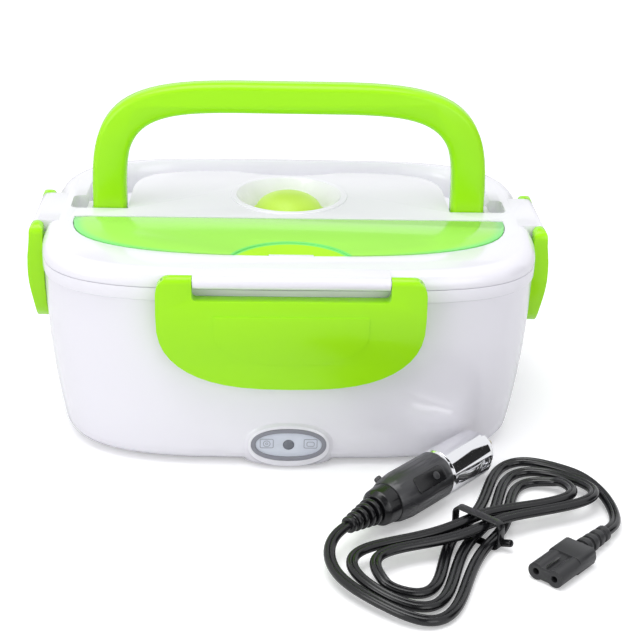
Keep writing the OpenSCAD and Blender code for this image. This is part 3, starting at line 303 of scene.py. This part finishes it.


# %% Cover painted light
def cover_painted_light_group():
    """Painted light on the cover: base green, bluer at its edge and step, yellower in the dimple.
    """
    group = bpy.data.node_groups.new("cover_painted_light", "ShaderNodeTree")
    group.interface.new_socket("Color", in_out="OUTPUT", socket_type="NodeSocketColor")
    node, link = group.nodes.new, group.links.new

    def math_node(operation, *values):
        step = node("ShaderNodeMath")
        step.operation = operation
        for socket, value in zip(step.inputs, values):
            if isinstance(value, (int, float)):
                socket.default_value = value
            else:
                link(value, socket)
        return step.outputs["Value"]

    def ramp(value, low, high):
        step = node("ShaderNodeMapRange")
        step.interpolation_type = "SMOOTHSTEP"
        step.inputs["From Min"].default_value = low
        step.inputs["From Max"].default_value = high
        link(value, step.inputs["Value"])
        return step.outputs["Result"]

    def blend(amount, first, second):
        step = node("ShaderNodeMix")
        step.data_type = "RGBA"
        link(amount, step.inputs["Factor"])
        for socket, colour in ((step.inputs["A"], first), (step.inputs["B"], second)):
            if isinstance(colour, tuple):
                socket.default_value = (*colour, 1)
            else:
                link(colour, socket)
        return step.outputs["Result"]

    place, split = node("ShaderNodeTexCoord"), node("ShaderNodeSeparateXYZ")
    link(place.outputs["Object"], split.inputs["Vector"])
    x, y = split.outputs["X"], split.outputs["Y"]
    # 1 on the cover's curved outline, less inside it
    across = math_node("DIVIDE", math_node("ABSOLUTE", x), COVER_HALF * MM)
    reach = math_node("DIVIDE", math_node("SUBTRACT", COVER_REAR * MM, y), COVER_REACH * MM)
    outward = math_node(
        "ADD", math_node("POWER", across, COVER_POWER),
        math_node("POWER", math_node("MAXIMUM", reach, 0), COVER_POWER),
    )
    edge = math_node("MULTIPLY", ramp(outward, EDGE_FROM, 1.0), ramp(across, SIDES_FROM, SIDES_TO))
    # Distance from the middle of the thumb dimple
    thumb_y = math_node("SUBTRACT", y, THUMB_Y * MM)
    from_thumb = math_node("SQRT", math_node(
        "ADD", math_node("MULTIPLY", x, x), math_node("MULTIPLY", thumb_y, thumb_y),
    ))
    inside = ramp(from_thumb, THUMB_R * MM, (THUMB_R - THUMB_SOFT) * MM)
    off_step = math_node("ABSOLUTE", math_node("SUBTRACT", from_thumb, THUMB_R * MM))
    step_line = ramp(off_step, STEP_FAR * MM, STEP_NEAR * MM)
    green = blend(inside, COVER_GREEN, DIMPLE_PAINTED_LIGHT)
    green = blend(math_node("MULTIPLY", edge, EDGE_SHARE), green, EDGE_PAINTED_LIGHT)
    green = blend(math_node("MULTIPLY", step_line, STEP_SHARE), green, STEP_PAINTED_LIGHT)
    out = node("NodeGroupOutput")
    link(green, out.inputs["Color"])
    return group


# The painted light takes the place of the cover's plain green
painted_light_node = cover_gloss.node_tree.nodes.new("ShaderNodeGroup")
painted_light_node.node_tree = cover_painted_light_group()
cover_gloss.node_tree.links.new(
    painted_light_node.outputs["Color"], cover_gloss.node_tree.nodes["Principled BSDF"].inputs["Base Color"],
)
print("cover tints from", painted_light_node.node_tree.name)

# %% [markdown]
# ## Soft edges on the moulded parts
# A CAD solid has edges as sharp as a knife. A moulding never has: the tool's
# corners are rounded by a few tenths of a millimetre, and that thin rounded
# line is what catches the light. The frame's meshes are loose triangles, so a
# copy is merged, its flat faces are joined, and a Bevel modifier rounds each
# edge that is sharper than a set angle. The copy then stands for the solid.

# %% Merged copy
def deselect_all():
    """Operators act on all that is selected, so each step starts from nothing."""
    for thing in bpy.context.selected_objects:
        thing.select_set(False)


def make_active(thing):
    """Selects one thing alone, for the operators that follow."""
    deselect_all()
    thing.select_set(True)
    bpy.context.view_layer.objects.active = thing


def merged_copy(node, name):
    """A clean copy of a CAD node: doubles merged, flat faces joined."""
    copy = bpy.data.objects.new(name, frame["nodes"][node].data.copy())
    bpy.context.collection.objects.link(copy)
    make_active(copy)
    bpy.ops.object.mode_set(mode="EDIT")
    bpy.ops.mesh.select_all(action="SELECT")
    bpy.ops.mesh.remove_doubles(threshold=0.01 * MM)
    bpy.ops.mesh.dissolve_limited(angle_limit=math.radians(0.6))
    bpy.ops.object.mode_set(mode="OBJECT")
    return copy


print("outer_case has", len(frame["nodes"]["outer_case"].data.vertices), "loose points")


# %% Soften
def apply_modifiers(thing):
    """Makes a thing's modifiers part of its mesh."""
    make_active(thing)
    for modifier in list(thing.modifiers):
        bpy.ops.object.modifier_apply(modifier=modifier.name)


def soften(node, material, width=0.4, segments=2, angle=32, smooth=40):
    """A copy of a CAD node with rounded edges, in its finish, standing for the node."""
    soft = merged_copy(node, node + "_soft")
    bevel = soft.modifiers.new("rounding", "BEVEL")
    bevel.width = width * MM
    bevel.segments = segments
    bevel.limit_method = "ANGLE"
    bevel.angle_limit = math.radians(angle)
    bevel.use_clamp_overlap = True
    apply_modifiers(soft)
    bpy.ops.object.shade_smooth_by_angle(angle=math.radians(smooth))
    soft.data.materials.clear()
    soft.data.materials.append(material)
    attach(soft, body_of(frame["nodes"][node])[0])
    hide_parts(node)
    print(node, len(soft.data.polygons), "faces")
    return soft


soften("outer_case", white_gloss, width=0.5)

# %% [markdown]
# ## Lid, handle and latches
# The white shells get wide rounding, because their mouldings are large. The
# handle and latches are thick lime mouldings with edges of half a millimetre
# and more. The compartment cover is thin and clear, so its edge is small.

# %% Lid, handle and latches
soften("lid_cover", white_gloss, width=0.6, segments=3)
soften("handle", lime_gloss, width=0.5, angle=50, smooth=60)
for side in ("front", "back", "left", "right"):
    soften("latch_" + side, lime_gloss, width=0.7, segments=3, angle=40, smooth=50)
soften("compartment_cover", cover_gloss, width=0.3)
soften("vent_plug", vent_satin, width=0.3)

# %% [markdown]
# ## Inside and underneath
# The well, tray and dish show when the lid is up, the bottom cover and feet
# when the box is turned over. They take the same rounding in small widths. The
# heater, thermostat and wires are shut in, and the pins and screws are tiny, so
# these keep their plain solids and only take a finish.

# %% Inside
soften("inner_well", liner_satin, width=0.4)
soften("food_tray", liner_satin, width=0.4)
soften("small_dish", vent_satin, width=0.3)
soften("lid_liner", liner_satin, width=0.4)
soften("spoon", spoon_white, width=0.3)
soften("bottom_cover", white_gloss, width=0.2)
soften("feet", foot_matte, width=0.2)
soften("power_inlet", inlet_black, width=0.2)
soften("heater_plate", aluminium, width=0.2)


# %% Plain solids
def paint(node, material):
    """A CAD node that keeps its own mesh takes its finish."""
    thing = frame["nodes"][node]
    thing.data.materials.clear()
    thing.data.materials.append(material)
    print(node, "in", material.name)


for node, material in {
    "lid_seal": seal_matte, "ptc_heater": ceramic_tan, "heater_clamp": steel,
    "thermostat": ivory_matte, "indicator_led": led_red, "inlet_pins": brass,
    "wiring": wire_red, "base_screws": steel, "handle_pins": steel,
    "latch_pins": steel,
}.items():
    paint(node, material)

# %% [markdown]
# ## Indicator lamp
# Low on the front, a grey oval bezel holds a pale plate, and a small smoked lens
# in its middle lights up while the box heats. The bezel's rim is the one edge
# here that catches light. The plate and the lens are set in flush, so their
# edges are hardly broken.

# %% Indicator lamp
soften("lamp_bezel", bezel_satin, width=0.3, segments=3)
soften("lamp_badge", badge_satin, width=0.08)
soften("lamp_lens", lens_smoke, width=0.05)

# %% [markdown]
# ## Signs on the badge
# Left and right of the lamp the badge has a small rounded square printed on it
# with a simple sign inside. Each line is a flat outline. A square or a circle
# is added at its size, its corners are rounded, its face is inset and the
# middle is deleted. Solidify then gives the print the thickness of a hair.

# %% Signs
SIGN_X, BADGE_Y, BADGE_Z = 9.3, -78.12, 12.2
PRINT_THICK = 0.06


def flat_outline(name, corners, size, centre, line, corner=0):
    """A printed outline facing the front: a polygon with its middle taken out."""
    deselect_all()
    if corners == 4:
        bpy.ops.mesh.primitive_plane_add(size=MM)
    else:
        bpy.ops.mesh.primitive_circle_add(vertices=corners, radius=0.5 * MM, fill_type="NGON")
    sign = bpy.context.object
    sign.name = name
    bpy.ops.object.mode_set(mode="EDIT")
    bpy.ops.mesh.select_mode(type="FACE")
    bpy.ops.transform.resize(value=(size[0], size[1], 1))
    if corner:
        bpy.ops.mesh.bevel(offset=corner * MM, segments=4, affect="VERTICES")
        bpy.ops.mesh.select_all(action="SELECT")
    bpy.ops.mesh.inset(thickness=line * MM)
    bpy.ops.mesh.delete(type="FACE")
    bpy.ops.mesh.select_all(action="SELECT")
    bpy.ops.transform.rotate(value=math.radians(90), orient_axis="X", center_override=(0, 0, 0))
    bpy.ops.transform.translate(value=[v * MM for v in centre])
    bpy.ops.object.mode_set(mode="OBJECT")
    thick = sign.modifiers.new("print", "SOLIDIFY")
    thick.thickness = PRINT_THICK * MM
    apply_modifiers(sign)
    bpy.ops.object.mode_set(mode="EDIT")
    bpy.ops.mesh.select_all(action="SELECT")
    bpy.ops.mesh.normals_make_consistent(inside=False)
    bpy.ops.object.mode_set(mode="OBJECT")
    sign.data.materials.append(mark_grey)
    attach(sign, "case")
    print(name, len(sign.data.polygons), "faces")


for side, x in (("left", -SIGN_X), ("right", SIGN_X)):
    flat_outline(
        "sign_frame_" + side, 4, (5.8, 4.4), (x, BADGE_Y, BADGE_Z + 0.6), line=0.28, corner=0.7,
    )
flat_outline("sign_flame", 20, (3.2, 3.0), (-SIGN_X, BADGE_Y, BADGE_Z + 0.5), line=0.26)
flat_outline("sign_flame_core", 12, (1.3, 1.1), (-SIGN_X, BADGE_Y, BADGE_Z + 0.5), line=0.22)
flat_outline("sign_box", 4, (3.4, 2.3), (SIGN_X, BADGE_Y, BADGE_Z + 0.4), line=0.26, corner=0.8)

# %% [markdown]
# ## The lead
# The cord is a glossy twin flex: two round cores side by side with a groove
# between them. It starts at the plug's ribbed relief, runs round a figure of
# eight bound in the middle, and ends at the small connector. Its centre line is
# worked out from the same loops as the solid's, in the hank's own frame: u runs
# along the hank, v across it, both in millimetres. Round one end of the hank
# the cord climbs to the upper layer and moves over by a lane, and round the
# other end it comes down again, so that the runs cross in the middle one over
# the other.

# %% Sizes of the lead
CORD_D = 4.6
HANK_PLACE, HANK_TURN = Vector((74, -134, 0)), math.radians(47)
HANK_U, HANK_V = 66.0, 18.0
LOOP_LANE, WAIST_LANE = CORD_D + 0.9, CORD_D + 2.8
CORD_LOW = CORD_D / 2
CORD_HIGH = CORD_LOW + CORD_D + 0.6
WAIST_LIFT, WAIST_HALF = 1.2, 26
LOOP_PEAK, LOOP_COUNT, LOOP_RINGS = 0.803, 5, 24
RELIEF_U, PLUG_V, PLUG_Z, SHELL_R = -40, 33.5, 10.5, 10.3
CONNECTOR_U, CONNECTOR_V, CONNECTOR_Z = 34, -37, 4
PLUG_TAIL = [
    (RELIEF_U, PLUG_V, PLUG_Z), (RELIEF_U - 5, PLUG_V, PLUG_Z), (-52, 33, 9), (-58, 28.5, 6.5),
    (-63, 20.5, 5.6), (-65.5, 12, 5.2),
]
CONNECTOR_TAIL = [
    (66, -5, 4.9), (64.5, -14, 4.4), (59, -25, 3), (50, -33, 2.6), (44, -36.5, 3.2),
    (CONNECTOR_U + 5, CONNECTOR_V, CONNECTOR_Z), (CONNECTOR_U, CONNECTOR_V, CONNECTOR_Z),
]
print("hank", 2 * HANK_U, "mm long, cord", CORD_D, "mm wide")


# %% Route of the cord
def ease(t):
    """0 to 1 with a soft start and end."""
    t = min(max(t, 0), 1)
    return t * t * (3 - 2 * t)


def mix(a, b, t):
    """From a to b as t goes from 0 to 1."""
    return a + (b - a) * t


def lane_shift(k):
    """Sideways place of the cord at the waist, where loop k starts."""
    return (k / 2 - 1 if k % 2 == 0 else (2 - k) / 2) * WAIST_LANE


def hank_point(x):
    """A point of the looped cord; each whole step of x is one loop."""
    k = math.floor(x)
    w = x - k
    even = k % 2 == 0
    inset = (2 - k / 2 if even else (k + 1) / 2) * LOOP_LANE
    u = (1 if even else -1) * (HANK_U - inset) * math.sin(math.pi * w)
    loop = math.sin(2 * math.pi * w) * abs(math.sin(math.pi * w)) ** 0.8 / LOOP_PEAK
    v = HANK_V * loop + mix(lane_shift(k), lane_shift(k + 1), ease((w - 0.42) / 0.16))
    rise = ease((w - 0.28) / 0.44)
    z = mix(CORD_LOW, CORD_HIGH, rise) if even else mix(CORD_HIGH, CORD_LOW, rise)
    return u, v, z + WAIST_LIFT * ease(1 - abs(u) / WAIST_HALF)


def hank_to_table(p):
    """From the hank's own frame in mm to the table in metres."""
    c, s = math.cos(HANK_TURN), math.sin(HANK_TURN)
    turned = Vector((p[0] * c - p[1] * s, p[0] * s + p[1] * c, p[2]))
    return (turned + HANK_PLACE) * MM


hank = [hank_point(-0.5 + i / LOOP_RINGS) for i in range(LOOP_COUNT * LOOP_RINGS + 1)]
cord_route = [hank_to_table(p) for p in PLUG_TAIL + hank + CONNECTOR_TAIL]
print("cord route has", len(cord_route), "points")

# %% [markdown]
# ## A smooth centre line
# A flex can't turn sharply: its bends run into each other. A Bezier curve could
# be drawn through the points, but it would swing out between them and touch its
# neighbours. Cutting the corners twice and then letting each point slide
# towards its neighbours keeps the line inside the route.

# %% Smooth the route
CORNER_PASSES, RELAX_PASSES = 2, 14


def rounded(points, passes):
    """Cuts the corners of a route, keeping its ends."""
    for _ in range(passes):
        cut = [points[0]]
        for a, b in zip(points, points[1:]):
            cut += [a.lerp(b, 0.25), a.lerp(b, 0.75)]
        points = cut + [points[-1]]
    return points


def relaxed(points, passes):
    """Each pass moves the inner points half way to the middle of their neighbours."""
    for _ in range(passes):
        inner = [
            b.lerp((a + c) / 2, 0.5) for a, b, c in zip(points, points[1:], points[2:])
        ]
        points = [points[0]] + inner + [points[-1]]
    return points


cord_line = relaxed(rounded(cord_route, CORNER_PASSES), RELAX_PASSES)

# %% [markdown]
# ## The twin flex
# The section is an ellipse pinched in the middle, above and below, which is how
# two joined cores look. Its long axis stays level all the way, because a flat
# flex lies on its broad side. A curve with a bevel would turn the section as it
# climbs, so the rings of the tube are placed one by one.

# %% Sweep the flex
FLEX_FLATNESS, GROOVE_DEPTH, GROOVE_WIDTH, SECTION_POINTS = 0.84, 0.42, 0.2, 32


def twin_profile(width, height, groove):
    """Outline of two joined round cores, widest along the first axis."""
    outline = []
    for i in range(SECTION_POINTS):
        t = 2 * math.pi * i / SECTION_POINTS
        pinch = 1 - groove * math.exp(-((math.cos(t) / GROOVE_WIDTH) ** 2))
        outline.append((width / 2 * math.cos(t), height / 2 * math.sin(t) * pinch))
    return outline


def sweep(name, line, outline, material):
    """A tube of the outline's section along the line, its first axis kept level."""
    shape = bmesh.new()
    rings = []
    for i, centre in enumerate(line):
        heading = (line[min(i + 1, len(line) - 1)] - line[max(i - 1, 0)]).normalized()
        across = Vector((0, 0, 1)).cross(heading).normalized()
        rise = heading.cross(across)
        rings.append([
            shape.verts.new(centre + (across * x + rise * y) * MM) for x, y in outline
        ])
    for a, b in zip(rings, rings[1:]):
        for j in range(len(outline)):
            k = (j + 1) % len(outline)
            shape.faces.new((a[j], a[k], b[k], b[j]))
    shape.faces.new(list(reversed(rings[0])))
    shape.faces.new(rings[-1])
    bmesh.ops.recalc_face_normals(shape, faces=shape.faces)
    mesh = bpy.data.meshes.new(name)
    shape.to_mesh(mesh)
    shape.free()
    thing = bpy.data.objects.new(name, mesh)
    bpy.context.collection.objects.link(thing)
    thing.data.materials.append(material)
    make_active(thing)
    bpy.ops.object.shade_smooth_by_angle(angle=math.radians(60))
    return thing


flex_section = twin_profile(CORD_D, CORD_D * FLEX_FLATNESS, GROOVE_DEPTH)
flex = sweep("lead_flex", cord_line, flex_section, cord_black)
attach(flex, "case")
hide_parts("lead_cord")
print("flex", len(flex.data.polygons), "faces")

# %% [markdown]
# ## Plug and connector
# The car plug is a ribbed relief, a collar, a dark body with a window, and a
# chromed shell with two spring contacts and a tip. Its solids lie with the
# window on top, but the real one has rolled towards the viewer. The body is
# round, so it can be turned about the plug's own axis without leaving its
# place, and the window turns with it.

# %% Places on the plug
PLUG_RELIEF_LONG, COLLAR_LONG, BODY_LONG = 16, 8, 32
WINDOW_ALONG, WINDOW_TURN = PLUG_RELIEF_LONG + COLLAR_LONG + BODY_LONG / 2 + 2, 50


def plug_place(along, out, turn):
    """A point on the plug: along its axis, out from it, turned from the top to the front."""
    a = math.radians(turn)
    return hank_to_table((RELIEF_U + along, PLUG_V - out * math.sin(a), PLUG_Z + out * math.cos(a)))


def turn_on_plug(thing, turn):
    """Turns a piece round the plug's own axis, from the top to the front."""
    start = plug_place(0, 0, 0)
    spin = Matrix.Rotation(math.radians(turn), 4, plug_place(1, 0, 0) - start)
    thing.data.transform(Matrix.Translation(start) @ spin @ Matrix.Translation(-start))


print("plug starts at", [round(v, 3) for v in plug_place(0, 0, 0)])

# %% Pieces on the lead
relief_soft = soften("plug_relief", grip_black, width=0.35)
collar_soft = soften("plug_collar", grip_black, width=0.4, segments=3)
plug_soft = soften("plug_body", plug_grey, width=0.4, segments=3)
window_soft = soften("plug_window", grip_black, width=0.25)
for turned in (plug_soft, window_soft):
    turn_on_plug(turned, WINDOW_TURN)
shell_soft = soften("plug_shell", chrome, width=0.3, segments=3)
contacts_soft = soften("side_contacts", chrome, width=0.12)
tip_soft = soften("plug_tip", tip_silver, width=0.15)
tie_soft = soften("lead_tie", cord_black, width=0.3)
connector_soft = soften("lead_connector", connector_grey, width=0.35)
small_relief_soft = soften("connector_relief", connector_grey, width=0.3)

# %% [markdown]
# ## Small features of the lead
# The plug has a round button in its dark window and a small pip near its back
# end. The connector has a narrow slit along its top. It is not cut but painted
# shade: a thin strip of darker black lies where the slit's shade would be. The
# tie ends in a twisted nub. Each starts as a cylinder or a cube at its size and
# place. Its place is applied, so that its own origin stays at zero, and its
# edges are bevelled in edit mode.

# %% Settle
def settle(name, material, width, segments=2):
    """Fixes the new piece's place, bevels its edges and gives it its finish."""
    thing = bpy.context.object
    thing.name = name
    make_active(thing)
    bpy.ops.object.transform_apply(location=True, rotation=True, scale=True)
    bpy.ops.object.mode_set(mode="EDIT")
    bpy.ops.mesh.select_all(action="SELECT")
    bpy.ops.mesh.bevel(offset=width * MM, segments=segments, affect="EDGES")
    bpy.ops.object.mode_set(mode="OBJECT")
    bpy.ops.object.shade_smooth_by_angle(angle=math.radians(40))
    thing.data.materials.append(material)
    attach(thing, "case")
    print(name, len(thing.data.polygons), "faces")
    return thing


def add_round(sides, radius, depth, place, lean):
    """A short cylinder on the lead, leaned over from upright about the hank's long axis."""
    deselect_all()
    bpy.ops.mesh.primitive_cylinder_add(
        vertices=sides, radius=radius * MM, depth=depth * MM, location=place,
        rotation=(math.radians(lean), 0, HANK_TURN),
    )


# %% Button, pip, slit and nub
BUTTON_ALONG, PIP_ALONG, PIP_TURN = WINDOW_ALONG + 3.5, 29, -60
SLIT_BACK, SLIT_UP, SLIT_SIZE = 37, 3.5, (9 * MM, 0.8 * MM, 0.3 * MM)
NUB_PLACE, NUB_LEAN = (1.5, -12.4, 3.4), 70

add_round(24, 1.7, 0.9, plug_place(BUTTON_ALONG, SHELL_R + 0.1, WINDOW_TURN), WINDOW_TURN)
button = settle("plug_button", plug_grey, 0.2)
add_round(20, 1.6, 3, plug_place(PIP_ALONG, SHELL_R - 0.6, PIP_TURN), PIP_TURN)
pip = settle("plug_pip", plug_grey, 0.6, 3)
# The slit is painted shade: a thin strip of glossy black on the connector, not a cut
deselect_all()
bpy.ops.mesh.primitive_cube_add(
    size=1, rotation=(0, 0, HANK_TURN), scale=SLIT_SIZE,
    location=hank_to_table((CONNECTOR_U - SLIT_BACK, CONNECTOR_V, CONNECTOR_Z + SLIT_UP)),
)
slit_shade_strip = settle("connector_slit_shade", grip_black, 0.08)
add_round(16, 1.5, 6, hank_to_table(NUB_PLACE), NUB_LEAN)
nub = settle("tie_nub", cord_black, 0.5, 3)

# %% [markdown]
# ## What the cord is
# The cord is a free flex of a real length and width that leaves the plug, lies
# coiled on the table and ends in a connector. The pieces on it are named. This
# step prints where the cord leaves the plug.

# %% Where the cord leaves the plug
print("cord leaves the plug at", [round(v, 3) for v in cord_line[0]])

# %% [markdown]
# ## Studio floor
# The product stands on a white sweep. White plastic needs a light level at
# which it keeps some tone, so the lamps stay low and the floor gets its white
# from what the camera sees, not from more light. Its glow grows with distance
# from the box: close by it keeps the soft shadow, far off it is plain white.

# %% Floor
GLOW_FROM, GLOW_TO, GLOW_NEAR, GLOW_FAR = 0.5, 2.5, 0.3, 0.7


def floor_finish():
    """Matt white that glows a little for the camera alone, more so far from the box."""
    material = bpy.data.materials.new("floor_white")
    material.use_nodes = True
    tree = material.node_tree
    shader = tree.nodes["Principled BSDF"]
    shader.inputs["Base Color"].default_value = (0.86, 0.86, 0.87, 1)
    shader.inputs["Roughness"].default_value = 0.7
    shader.inputs["Specular IOR Level"].default_value = 0.1
    shader.inputs["Emission Color"].default_value = (1, 1, 1, 1)
    place, far = tree.nodes.new("ShaderNodeTexCoord"), tree.nodes.new("ShaderNodeVectorMath")
    far.operation = "LENGTH"
    fade = tree.nodes.new("ShaderNodeMapRange")
    fade.inputs["From Min"].default_value = GLOW_FROM
    fade.inputs["From Max"].default_value = GLOW_TO
    fade.inputs["To Min"].default_value = GLOW_NEAR
    fade.inputs["To Max"].default_value = GLOW_FAR
    rays, glow = tree.nodes.new("ShaderNodeLightPath"), tree.nodes.new("ShaderNodeMath")
    glow.operation = "MULTIPLY"
    tree.links.new(place.outputs["Object"], far.inputs[0])
    tree.links.new(far.outputs["Value"], fade.inputs["Value"])
    tree.links.new(rays.outputs["Is Camera Ray"], glow.inputs[0])
    tree.links.new(fade.outputs["Result"], glow.inputs[1])
    tree.links.new(glow.outputs["Value"], shader.inputs["Emission Strength"])
    return material


bpy.ops.mesh.primitive_plane_add(size=8, location=(0, 0, 0))
floor = bpy.context.object
floor.name = "floor"
floor.data.materials.append(floor_finish())
print("floor in", floor.data.materials[0].name)

# %% [markdown]
# ## Dark cards
# Chrome and gloss show nothing but what stands round them, and in an all white
# room they look flat. A photographer puts black cards out of view, which draw
# dark streaks on the chrome and a darker band on glossy walls. These cards are
# seen by reflections only, so they take no light from the box and throw no
# shadow.

# %% Dark cards
card_black = plastic("card_black", (0.01, 0.01, 0.01), 0.9, wave=0)


def dark_card(name, place, width, height, tilt=90, turn=0):
    """A black card that only reflections see."""
    bpy.ops.mesh.primitive_plane_add(
        size=1, location=place, rotation=(math.radians(tilt), 0, math.radians(turn)),
        scale=(width, height, 1),
    )
    card = bpy.context.object
    card.name = name
    card.visible_camera = card.visible_diffuse = card.visible_transmission = False
    card.visible_shadow = card.visible_volume_scatter = False
    card.data.materials.append(card_black)
    print(name, "at", place)


dark_card("front_card", (0, -2.4, 1.25), 5, 2.6)
dark_card("high_card", (0, -0.95, 1.15), 3, 0.4, tilt=0)
dark_card("back_card", (0, 1.6, 1.45), 4, 0.5)
dark_card("right_card", (2.2, 0.2, 0.95), 1.6, 0.7, turn=90)
dark_card("low_card", (1.6, 0.1, 0.1), 1.8, 0.16, turn=90)

# %% [markdown]
# ## Surroundings
# The world behind the floor is white where the camera, a reflection or a ray
# through the clear cover meets it. As a light on the box it is little more than
# half as strong, which leaves room for the lamps to model the shapes.

# %% World
WORLD_LIGHT, WORLD_SEEN = 0.55, 1.0

world = bpy.data.worlds.new("studio")
bpy.context.scene.world = world
world.use_nodes = True
tree = world.node_tree
background = tree.nodes["Background"]
background.inputs["Color"].default_value = (0.97, 0.98, 1, 1)


def larger(first, second):
    """The larger of two values of the world's nodes."""
    step = tree.nodes.new("ShaderNodeMath")
    step.operation = "MAXIMUM"
    tree.links.new(first, step.inputs[0])
    tree.links.new(second, step.inputs[1])
    return step.outputs["Value"]


rays = tree.nodes.new("ShaderNodeLightPath")
seen = larger(rays.outputs["Is Camera Ray"], rays.outputs["Is Glossy Ray"])
seen = larger(seen, rays.outputs["Is Transmission Ray"])
level = tree.nodes.new("ShaderNodeMapRange")
level.inputs["To Min"].default_value = WORLD_LIGHT
level.inputs["To Max"].default_value = WORLD_SEEN
tree.links.new(seen, level.inputs["Value"])
tree.links.new(level.outputs["Result"], background.inputs["Strength"])
print("world", WORLD_LIGHT, "as light,", WORLD_SEEN, "as seen")

# %% [markdown]
# ## Lamps
# A large soft lamp hangs above and a little in front. A second one from the
# left gives the walls their shape, and a weak one from the right opens the
# shadow side and the lead. Large squares, close to the box, give soft shadows.

# %% Lamps
LAMP_AIM = Vector((0, 0, 0.06))


def soft_lamp(name, place, size, power):
    """A square area lamp that faces the box."""
    bpy.ops.object.light_add(type="AREA", location=place)
    lamp = bpy.context.object
    lamp.name = name
    lamp.data.shape = "SQUARE"
    lamp.data.size = size
    lamp.data.energy = power
    lamp.rotation_mode = "QUATERNION"
    lamp.rotation_quaternion = (LAMP_AIM - Vector(place)).to_track_quat("-Z", "Y")
    print(name, power, "W")


soft_lamp("top_lamp", (-0.15, -0.2, 1.3), 1.0, 11)
soft_lamp("left_lamp", (-1.3, -0.9, 0.7), 0.8, 5.5)
soft_lamp("right_lamp", (0.75, -1.25, 0.6), 0.8, 3)

# %% [markdown]
# ## Last steps
# The plain Standard view shows each colour about as it is written.

# %% View
bpy.context.scene.view_settings.view_transform = "Standard"
print("view", bpy.context.scene.view_settings.view_transform)
